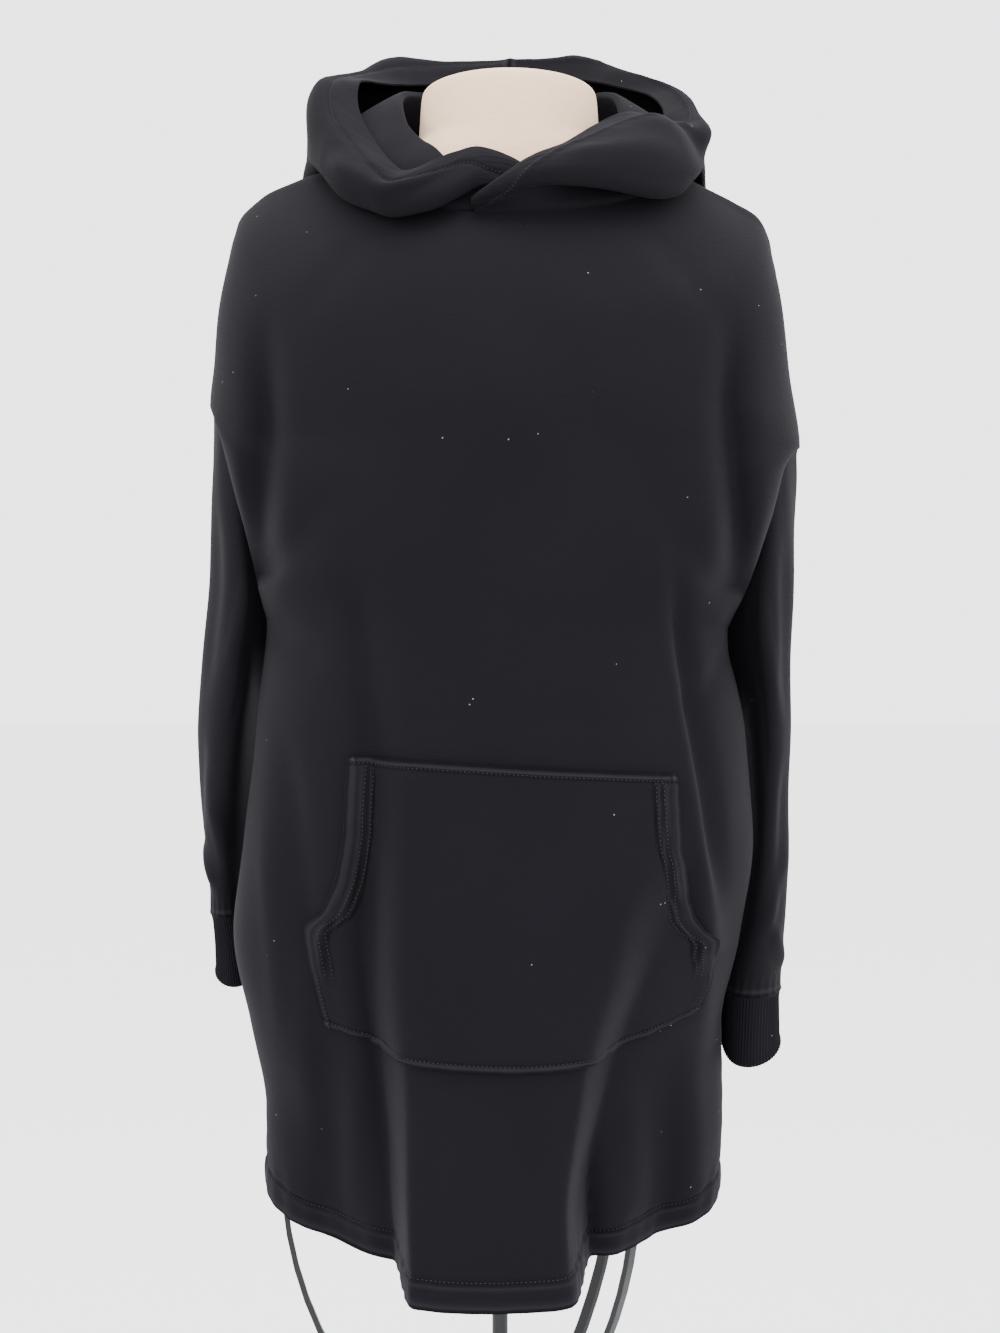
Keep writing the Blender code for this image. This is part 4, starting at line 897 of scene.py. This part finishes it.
def makeCuff(side, table):
    facing = -1 if side == "right" else 1
    count = cuffLook["ribs"] * cuffLook["cellsPerRib"]
    turns = np.arange(count) / count
    rows = []
    for w in np.linspace(0, 1, cuffLook["along"] + 1):
        z = cuffLook["seamZ"][side] - seamGap + (cuffLook["rimZ"][side] - cuffLook["seamZ"][side]) * w
        z = z - cuffLook["tilt"] * w * np.sin(2 * np.pi * turns)
        rows.append(sleeveSection(table, z, turns, cuffLook["step"]))
    grid = np.array(rows)
    ups = facing * gridNormals(grid, True)
    fromTop, fromFoot = fromEdge(grid, "first"), fromEdge(grid, "last")
    ribs = cuffLook["height"] * (np.cos(2 * np.pi * cuffLook["ribs"] * turns) ** 3)[None, :]
    shift = ribs * 0.7 * ease(fromTop / 0.002) - 0.0010 * np.exp(-(fromTop / 0.003) ** 2)
    shift -= 0.0012 * np.exp(-(fromFoot / 0.003) ** 2)
    grid = grid + ups * shift[..., None]
    return shell("cuff_%s_cloth" % side, grid, facing * gridNormals(grid, True), True)


sleeveRight, sleeveRightStitches = makeSleeve("right", rightSleeve)
sleeveLeft, sleeveLeftStitches = makeSleeve("left", leftSleeve)
cuffRight, cuffLeft = makeCuff("right", rightSleeve), makeCuff("left", leftSleeve)
print("sleeves and cuffs made")


# hood: sections round the neck, from the front crossing to the middle of the back
# angle is measured at the neck's centre from the front (0) to the back (180); r and z are the
# distance from that centre and the height of a section's points: the rim of the stand that rises
# from the seam, the turn beside it, the low and outer points of the roll, its crest and its edge.
hoodPoints = ("rim", "turn", "low", "out", "crest", "edge")
hoodColumns = ("angle", *(point + axis for point in hoodPoints for axis in "RZ"))
rightHood = (
    (-9, 0.1070, 1.360, 0.1080, 1.363, 0.1080, 1.367, 0.1065, 1.371, 0.1040, 1.375, 0.1010, 1.378),
    (-3, 0.1070, 1.361, 0.1085, 1.365, 0.1085, 1.370, 0.1070, 1.376, 0.1040, 1.383, 0.0990, 1.387),
    (8, 0.1070, 1.362, 0.1090, 1.366, 0.1095, 1.371, 0.1080, 1.378, 0.1040, 1.389, 0.0965, 1.396),
    (17, 0.1060, 1.367, 0.1110, 1.369, 0.1200, 1.359, 0.1230, 1.367, 0.1070, 1.391, 0.0960, 1.400),
    (26, 0.1000, 1.380, 0.1120, 1.378, 0.1340, 1.345, 0.1410, 1.355, 0.1290, 1.376, 0.1150, 1.390),
    (36, 0.0960, 1.398, 0.1160, 1.386, 0.1480, 1.339, 0.1570, 1.350, 0.1490, 1.367, 0.1330, 1.376),
    (46, 0.0930, 1.408, 0.1220, 1.388, 0.1480, 1.348, 0.1600, 1.360, 0.1500, 1.384, 0.1290, 1.389),
    (60, 0.0910, 1.426, 0.1280, 1.404, 0.1500, 1.364, 0.1620, 1.378, 0.1480, 1.409, 0.1240, 1.413),
    (78, 0.0880, 1.452, 0.1300, 1.430, 0.1540, 1.396, 0.1640, 1.408, 0.1530, 1.447, 0.1260, 1.452),
    (92, 0.0870, 1.466, 0.1290, 1.446, 0.1580, 1.412, 0.1680, 1.424, 0.1550, 1.483, 0.1230, 1.482),
    (112, 0.0870, 1.478, 0.1270, 1.458, 0.1720, 1.398, 0.1920, 1.412, 0.1370, 1.506, 0.1080, 1.490),
    (135, 0.0870, 1.484, 0.1200, 1.464, 0.1800, 1.345, 0.2120, 1.352, 0.1290, 1.530, 0.1020, 1.500),
    (158, 0.0870, 1.484, 0.1140, 1.462, 0.1720, 1.262, 0.2180, 1.285, 0.1180, 1.533, 0.0950, 1.508),
    (180, 0.0870, 1.482, 0.1120, 1.460, 0.1680, 1.218, 0.2160, 1.258, 0.1090, 1.535, 0.0900, 1.512),
)
leftHood = (
    (-14, 0.1205, 1.350, 0.1215, 1.351, 0.1225, 1.352, 0.1230, 1.353, 0.1232, 1.354, 0.1228, 1.355),
    (-3, 0.1205, 1.354, 0.1235, 1.356, 0.1270, 1.358, 0.1290, 1.362, 0.1270, 1.368, 0.1215, 1.371),
    (9, 0.1170, 1.360, 0.1200, 1.364, 0.1290, 1.364, 0.1340, 1.372, 0.1220, 1.386, 0.1120, 1.390),
    (26, 0.1080, 1.373, 0.1210, 1.373, 0.1370, 1.362, 0.1450, 1.375, 0.1190, 1.401, 0.0980, 1.406),
    (45, 0.1000, 1.394, 0.1240, 1.388, 0.1460, 1.359, 0.1570, 1.375, 0.1260, 1.418, 0.0970, 1.426),
    (62, 0.0940, 1.418, 0.1290, 1.404, 0.1470, 1.368, 0.1600, 1.386, 0.1400, 1.430, 0.1110, 1.440),
    (76, 0.0900, 1.438, 0.1300, 1.421, 0.1500, 1.390, 0.1580, 1.400, 0.1500, 1.420, 0.1220, 1.436),
    (90, 0.0880, 1.458, 0.1300, 1.440, 0.1570, 1.410, 0.1600, 1.424, 0.1570, 1.452, 0.1270, 1.456),
    (106, 0.0870, 1.474, 0.1280, 1.454, 0.1690, 1.400, 0.1720, 1.424, 0.1520, 1.487, 0.1230, 1.480),
    (126, 0.0870, 1.482, 0.1220, 1.462, 0.1800, 1.366, 0.2060, 1.376, 0.1120, 1.512, 0.0950, 1.498),
    (152, 0.0870, 1.484, 0.1150, 1.462, 0.1740, 1.272, 0.2170, 1.292, 0.1140, 1.535, 0.0940, 1.510),
    (180, 0.0870, 1.482, 0.1120, 1.460, 0.1680, 1.218, 0.2160, 1.258, 0.1090, 1.535, 0.0900, 1.512),
)
hoodLook = {
    "cells": 150, "rows": 120, "fine": 160, "hemWidth": 0.022, "seamDip": 0.0008,
    "inset": 0.0038,              # how far inside the neckline the seam edge lies
    "sink": 0.0020,               # and how far under it
    "outset": 0.0012,             # how far outside the neckline's line the hood stands
    "rise": 0.0080,               # how far it rises along the panels' normal before it leans in
    "rimOver": (0.0035, 0.0055),  # the rim's second point, out from and above its first
    "rimFold": 0.0120,            # where the turn is this far out, the rim is folded over in full
    "turnLift": 0.0040,           # how much higher the turn then lies
    "clear": cloth + 0.0030,      # least distance of the middle surface from the panels' one
    "restPasses": 2, "curvePasses": 8, "columnPasses": 6,
    "crossStep": 0.0060,          # how far the under layer of the crossing sits behind the upper one
    "crossAngles": (12, 22),      # where that step ends
    "degree": 0.002, "whole": 0.2,    # what a degree, and s from 0 to 1, are taken as in the creases
}
# columns: angle0, s0, angle1, s1, width, depth; s runs from the seam (0) to the edge (1)
hoodCreases = {
    "right": (
        (22, 0.84, 66, 0.80, 0.007, -0.0060), (34, 0.74, 84, 0.70, 0.010, 0.0044),
        (70, 0.86, 118, 0.78, 0.012, -0.0050), (90, 0.74, 132, 0.80, 0.016, 0.0040),
        (112, 0.88, 150, 0.82, 0.012, -0.0040), (130, 0.60, 172, 0.68, 0.016, 0.0044),
        (140, 0.76, 176, 0.80, 0.014, -0.0044), (30, 0.10, 70, 0.20, 0.012, -0.0016),
    ),
    "left": (
        (14, 0.74, 60, 0.78, 0.010, -0.0040), (24, 0.66, 80, 0.70, 0.010, 0.0030),
        (68, 0.98, 92, 0.78, 0.009, -0.0080), (84, 0.80, 126, 0.84, 0.014, 0.0040),
        (104, 0.88, 146, 0.82, 0.012, -0.0040), (126, 0.62, 170, 0.68, 0.016, 0.0042),
        (138, 0.78, 174, 0.80, 0.014, -0.0042), (30, 0.12, 80, 0.20, 0.012, -0.0016),
    ),
}


def necklinePoint(angle):
    face = "front" if abs(angle) <= 90 else "back"
    row = bodyRow(0.0, face)
    around = np.degrees(np.arctan2(row[:, 0] - neckCentre[0], -(row[:, 1] - neckCentre[1])))
    if face == "back":
        around = np.where(around < 0, around + 360, around)
        angle = angle + 360 if angle < 0 else angle
    order = np.argsort(around)
    return np.array([np.interp(angle, around[order], row[order, k]) for k in range(3)])


def hoodGrid(side, table):
    sign = 1 if side == "left" else -1
    first, last = table[0][0], 180.0
    angles = first + (last - first) * np.linspace(0, 1, hoodLook["cells"] + 1)
    lastStep = len(hoodPoints) + 2
    steps = np.linspace(0, lastStep, hoodLook["fine"] + 1)
    turn = 4 * hoodLook["fine"] // lastStep
    columns = []
    for angle in angles:
        at = reader(table, hoodColumns, angle)
        seam = necklinePoint(sign * angle)
        seamR = math.hypot(seam[0] - neckCentre[0], seam[1] - neckCentre[1]) + hoodLook["outset"]
        up = bodyUps[int(np.argmin(((bodyPoints - seam) ** 2).sum(axis=1)))]
        outward = 1.0
        if side == "right":
            under, over = hoodLook["crossAngles"]
            outward = ease((angle - under) / (over - under))
            seamR -= hoodLook["crossStep"] * (1 - outward)
        heading = math.atan2(seam[0] - neckCentre[0], -(seam[1] - neckCentre[1]))
        out = outward * (up[0] * math.sin(heading) - up[1] * math.cos(heading))
        radii = [seamR - hoodLook["inset"], seamR - hoodLook["inset"] / 2 + out * hoodLook["rise"] / 2]
        heights = [seam[2] - hoodLook["sink"], seam[2] + up[2] * hoodLook["rise"]]
        folded = min(1, (at("turnR") - at("rimR")) / hoodLook["rimFold"])
        for point in hoodPoints:
            radii.append(at(point + "R"))
            heights.append(at(point + "Z") + (folded * hoodLook["turnLift"] if point == "turn" else 0))
            if point == "rim":
                radii.append(radii[-1] + folded * hoodLook["rimOver"][0])
                heights.append(heights[-1] + folded * hoodLook["rimOver"][1])
        keys = np.arange(len(radii))
        straight = steps <= 3
        r = np.where(straight, np.interp(steps, keys, radii), smooth(keys, radii, steps))
        z = np.where(straight, np.interp(steps, keys, heights), smooth(keys, heights, steps))
        curve = np.stack([neckCentre[0] + r * math.sin(heading), neckCentre[1] - r * math.cos(heading), z],
                         axis=1)
        for _ in range(hoodLook["restPasses"]):
            curve[turn:] = restOn(curve[turn:], bodyPoints, bodyUps, hoodLook["clear"])
        for _ in range(hoodLook["curvePasses"]):
            curve[1:-1] = (curve[:-2] + 2 * curve[1:-1] + curve[2:]) / 4
        lengths = np.linalg.norm(np.diff(curve, axis=0), axis=1)
        weight = np.append(0, np.cumsum(lengths)) / lengths.sum() + steps / steps[-1]
        places = np.linspace(0, weight[-1], hoodLook["rows"] + 1)
        columns.append(np.stack([np.interp(places, weight, curve[:, k]) for k in range(3)], axis=1))
    grid = np.transpose(np.array(columns), (1, 0, 2))
    for _ in range(hoodLook["columnPasses"]):
        grid[:, 1:-1] = (grid[:, :-2] + 2 * grid[:, 1:-1] + grid[:, 2:]) / 4
    return grid, angles


def makeHood(side, table):
    grid, angles = hoodGrid(side, table)
    ups = gridNormals(grid)
    degree, whole = hoodLook["degree"], hoodLook["whole"]
    s = np.linspace(0, 1, grid.shape[0])[:, None] + 0 * angles[None, :]
    u, v = 0 * s + angles[None, :] * degree, s * whole
    table = [(a0 * degree, s0 * whole, a1 * degree, s1 * whole, width, depth)
             for a0, s0, a1, s1, width, depth in hoodCreases[side]]
    fromSeam, fromRim = fromEdge(grid, "first"), fromEdge(grid, "last")
    fromBack = fromEdge(grid, "left")
    free = ease(fromSeam / 0.05) * ease(fromBack / 0.02)
    facing = 1 if side == "left" else -1
    small = 0.5 * unevenness(grid[..., 0], grid[..., 1], grid[..., 2])
    shift = (creases(table, u, v) + small) * free * facing
    shift += hem(fromRim, hoodLook["hemWidth"], fromBack, 0.0008, 0.00012)
    shift -= hoodLook["seamDip"] * np.exp(-(fromBack / 0.0030) ** 2) * facing
    grid = grid + ups * shift[..., None]
    grid[:, -1, 0] += seamGap * facing
    ups = gridNormals(grid)
    # painted shade at the back seam and painted highlight beside it
    made = shell("hood_%s_cloth" % side, grid, ups, shadeAndHighlight=seamShadeAndHighlight(fromBack))
    lines = [sewn(grid, ups, "last", hoodLook["hemWidth"])]
    lines.append((lines[0][0] - lines[0][1] * cloth, -lines[0][1]))
    lines.append(sewn(grid, ups * facing, "left", 0.0045))
    return made, stitches("hood_%s_stitches" % side, lines)


hoodRight, hoodRightStitches = makeHood("right", rightHood)
hoodLeft, hoodLeftStitches = makeHood("left", leftHood)
print("hood made")


# the form under the cloth: torso in linen, and its stand
# columns: radius, z
neckRings = ((0.0620, 1.472), (0.0710, 1.468), (0.0735, 1.440), (0.0745, 1.425))
formNeck = (0.0075, -0.030)
# columns: level of the cloth that the shoulders fill, share of its width
shoulderRings = ((0.020, 0.930), (0.060, 0.960), (0.100, 0.980), (0.135, 0.985))
# columns: z, halfX, frontY, backY, roundness
torsoRings = (
    (1.335, 0.1900, -0.100, 0.066, 2.3),
    (1.280, 0.1700, -0.134, 0.082, 2.3),
    (1.180, 0.1580, -0.176, 0.092, 2.2),
    (1.080, 0.1430, -0.150, 0.084, 2.2),
    (0.980, 0.1350, -0.118, 0.076, 2.1),
    (0.880, 0.1520, -0.118, 0.084, 2.1),
    (0.800, 0.1600, -0.116, 0.088, 2.1),
    (0.752, 0.1560, -0.108, 0.084, 2.1),
)
torsoLook = {
    "cells": 32, "around": 144, "between": 9, "capRings": 7, "passes": 4,
    "shoulderDepth": 0.9,         # share of the cloth's depth that the shoulders fill
    "clear": cloth / 2 + 0.0008 + 0.0012,     # least distance under the cloth's middle surface
    "coverTop": 1.415,            # the cloth covers it up to here
    "seamX": 0.004, "seamWidth": 0.0022, "seamDepth": 0.0011, "seamTop": 1.466,
    "crown": 0.0016,              # how much the neck's top rises to its middle
}


def oval(halfX, frontY, backY, roundness, z):
    points = []
    for k in range(torsoLook["cells"]):
        angle = 2 * math.pi * k / torsoLook["cells"]
        s, c = math.sin(angle), math.cos(angle)
        reach = -frontY if c > 0 else backY
        points.append((halfX * math.copysign(abs(s) ** (2 / roundness), s),
                       -math.copysign(abs(c) ** (2 / roundness), c) * reach, z))
    return points


def shoulderRing(level, share):
    points = []
    for k in range(torsoLook["cells"]):
        angle = 2 * math.pi * k / torsoLook["cells"]
        row = bodyRow(level, "front" if math.cos(angle) >= 0 else "back")
        x, y, z = row[int(round((1 + math.sin(angle)) / 2 * (len(row) - 1)))]
        points.append((x * share, y * share * torsoLook["shoulderDepth"], z - cloth / 2))
    return points


def circle(centre, radius, z):
    turns = [2 * math.pi * k / torsoLook["cells"] for k in range(torsoLook["cells"])]
    return [(centre[0] + radius * math.sin(t), centre[1] - radius * math.cos(t), z) for t in turns]


def periodic(turns, values, at):
    # a closed curve through even points, as a Catmull-Rom spline
    count = len(turns) - 1
    cell = np.floor(at).astype(int) % count
    t = at - np.floor(at)
    p = [values[(cell + k) % count] for k in (-1, 0, 1, 2)]
    return 0.5 * (2 * p[1] + (p[2] - p[0]) * t + (2 * p[0] - 5 * p[1] + 4 * p[2] - p[3]) * t ** 2
                  + (3 * p[1] - p[0] - 3 * p[2] + p[3]) * t ** 3)


def makeTorso():
    rings = [circle(formNeck, radius, z) for radius, z in neckRings]
    rings += [shoulderRing(level, share) for level, share in shoulderRings]
    rings += [oval(halfX, frontY, backY, roundness, z)
              for z, halfX, frontY, backY, roundness in torsoRings]
    rings = np.array(rings)
    turns = np.arange(torsoLook["cells"] + 1)
    fineTurns = np.linspace(0, torsoLook["cells"], torsoLook["around"] + 1)[:-1]
    closed = np.concatenate([rings, rings[:, :1]], axis=1)
    wide = np.stack([[periodic(turns, ring[:, k], fineTurns) for k in range(3)] for ring in closed])
    wide = wide.transpose(0, 2, 1)
    keys = np.arange(len(rings))
    fineKeys = np.linspace(0, len(rings) - 1, (len(rings) - 1) * torsoLook["between"] + 1)
    grid = np.stack([[smooth(keys, wide[:, j, k], fineKeys) for k in range(3)]
                     for j in range(torsoLook["around"])]).transpose(2, 0, 1)
    for _ in range(torsoLook["passes"]):
        grid[1:-1] = (grid[:-2] + 2 * grid[1:-1] + grid[2:]) / 4
    covered = grid[:, :, 2] < torsoLook["coverTop"]
    under = grid.reshape(-1, 3)[covered.reshape(-1)]
    rested = -restOn(-under, -bodyPoints, bodyUps, torsoLook["clear"])
    grid.reshape(-1, 3)[covered.reshape(-1)] = rested
    ups = -gridNormals(grid, True)
    middle = np.exp(-((grid[..., 0] - torsoLook["seamX"]) / torsoLook["seamWidth"]) ** 2)
    middle = middle * (grid[..., 2] < torsoLook["seamTop"])
    grid = grid - ups * (torsoLook["seamDepth"] * middle)[..., None]
    centre = np.array([formNeck[0], formNeck[1], 0])
    cap = []
    for share in np.linspace(1, 0.05, torsoLook["capRings"])[1:]:
        ring = centre + (grid[0] - centre) * np.array([share, share, 1])
        ring[:, 2] = grid[0][:, 2] + torsoLook["crown"] * (1 - share ** 2)
        cap.append(ring)
    rows = np.concatenate([np.array(cap[::-1]), grid])
    count, cols = rows.shape[:2]
    faces = [(i * cols + j, i * cols + (j + 1) % cols, (i + 1) * cols + (j + 1) % cols, (i + 1) * cols + j)
             for i in range(count - 1) for j in range(cols)]
    faces += [tuple(range(cols))[::-1], tuple((count - 1) * cols + j for j in range(cols))]
    return addMesh("torso_linen", rows.reshape(-1, 3), faces, paints["linen"], 60)


torso = makeTorso()
metalNodes = ("form_plate", "form_rib_1", "form_rib_2", "form_rib_3", "form_collar", "form_pole",
              "form_base")
for name in metalNodes:
    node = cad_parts[name]
    node.data.materials.clear()
    node.data.materials.append(paints["metal"])
print("form made")


# what each piece stands for; flat is the width and length of its cut, area the cloth in it where
# the cut is no rectangle; hood and cuffs are given as rectangles with the area of their cloth
cuts = (
    (dressFront, "dress_front", (frontStitches,), (0.67, 0.93), 0.517, "draped", "form_torso"),
    (dressBack, "dress_back", (backStitches,), (0.68, 0.93), 0.503, "draped", "form_torso"),
    (sleeveRight, "sleeve_right", (sleeveRightStitches,), (0.35, 0.43), 0.111, "hung", "dress_front"),
    (sleeveLeft, "sleeve_left", (sleeveLeftStitches,), (0.33, 0.45), 0.116, "hung", "dress_front"),
    (cuffRight, "cuff_right", (), (0.24, 0.059), None, "hung", "sleeve_right"),
    (cuffLeft, "cuff_left", (), (0.24, 0.056), None, "hung", "sleeve_left"),
    (hoodRight, "hood_right", (hoodRightStitches,), (0.38, 0.44), None, "draped", "dress_back"),
    (hoodLeft, "hood_left", (hoodLeftStitches,), (0.38, 0.43), None, "draped", "dress_back"),
    (pocketCloth, "pocket", (pocketStitches,), (0.39, 0.23), 0.070, "hung", "dress_front"),
)
for piece, node, sewnOn, flat, area, held, restsOn in cuts:
    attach(piece, "root")
    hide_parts(node)
    for line in sewnOn:
        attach(line, "root")
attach(torso, "root")
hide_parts("form_torso")


# floor, light and camera; a light's place, the point it is turned to, its width and height, its power
studio = {
    "floor": (0.93, 0.93, 0.94, 1), "floorReach": 30,
    "world": (0.97, 0.98, 1.0, 1), "worldStrength": 3.3,
    "eye": (0.0, -1.53, 1.0), "lens": 49.28,
    "lights": {
        "key": ((-0.4, -2.6, 2.4), (0, 0, 1.1), (2.0, 1.2), 6),
        "right_side": ((2.6, -0.4, 1.8), (0, 0, 1.0), (1.0, 2.0), 6),
        "left_side": ((-2.6, -0.2, 1.8), (0, 0, 1.0), (1.0, 2.0), 6),
        "top": ((0.0, -0.5, 3.0), (0, 0, 1.4), (1.6, 1.2), 60),
        "front": ((0.0, -2.0, 1.05), (0, 0, 1.50), (0.7, 0.4), 14),
    },
}


def makeFloor():
    mesh = bpy.data.meshes.new("floor")
    r = studio["floorReach"]
    mesh.from_pydata([(-r, -r, 0), (r, -r, 0), (r, r, 0), (-r, r, 0)], [], [(0, 1, 2, 3)])
    paint = Paint("floor")
    paint.fix(**{"Base Color": studio["floor"], "Roughness": 0.9, "Specular IOR Level": 0.1})
    mesh.materials.append(paint.material)
    addObject("floor", mesh)


def addLight(name, place, target, size, power):
    data = bpy.data.lights.new(name, "AREA")
    data.shape = "RECTANGLE"
    data.size, data.size_y = size
    data.energy = power
    made = addObject(name, data)
    made.location = place
    made.rotation_euler = (Vector(target) - Vector(place)).to_track_quat("-Z", "Y").to_euler()


makeFloor()
for name, light in studio["lights"].items():
    addLight(name, *light)
world = bpy.data.worlds.new("studio")
world.use_nodes = True
world.node_tree.nodes["Background"].inputs[0].default_value = studio["world"]
world.node_tree.nodes["Background"].inputs[1].default_value = studio["worldStrength"]
bpy.context.scene.world = world
cameraData = bpy.data.cameras.new("camera")
cameraData.lens = studio["lens"]
camera = addObject("camera", cameraData)
camera.location = studio["eye"]
camera.rotation_euler = (math.radians(90), 0, 0)
bpy.context.scene.camera = camera
print("stage, light and camera set")
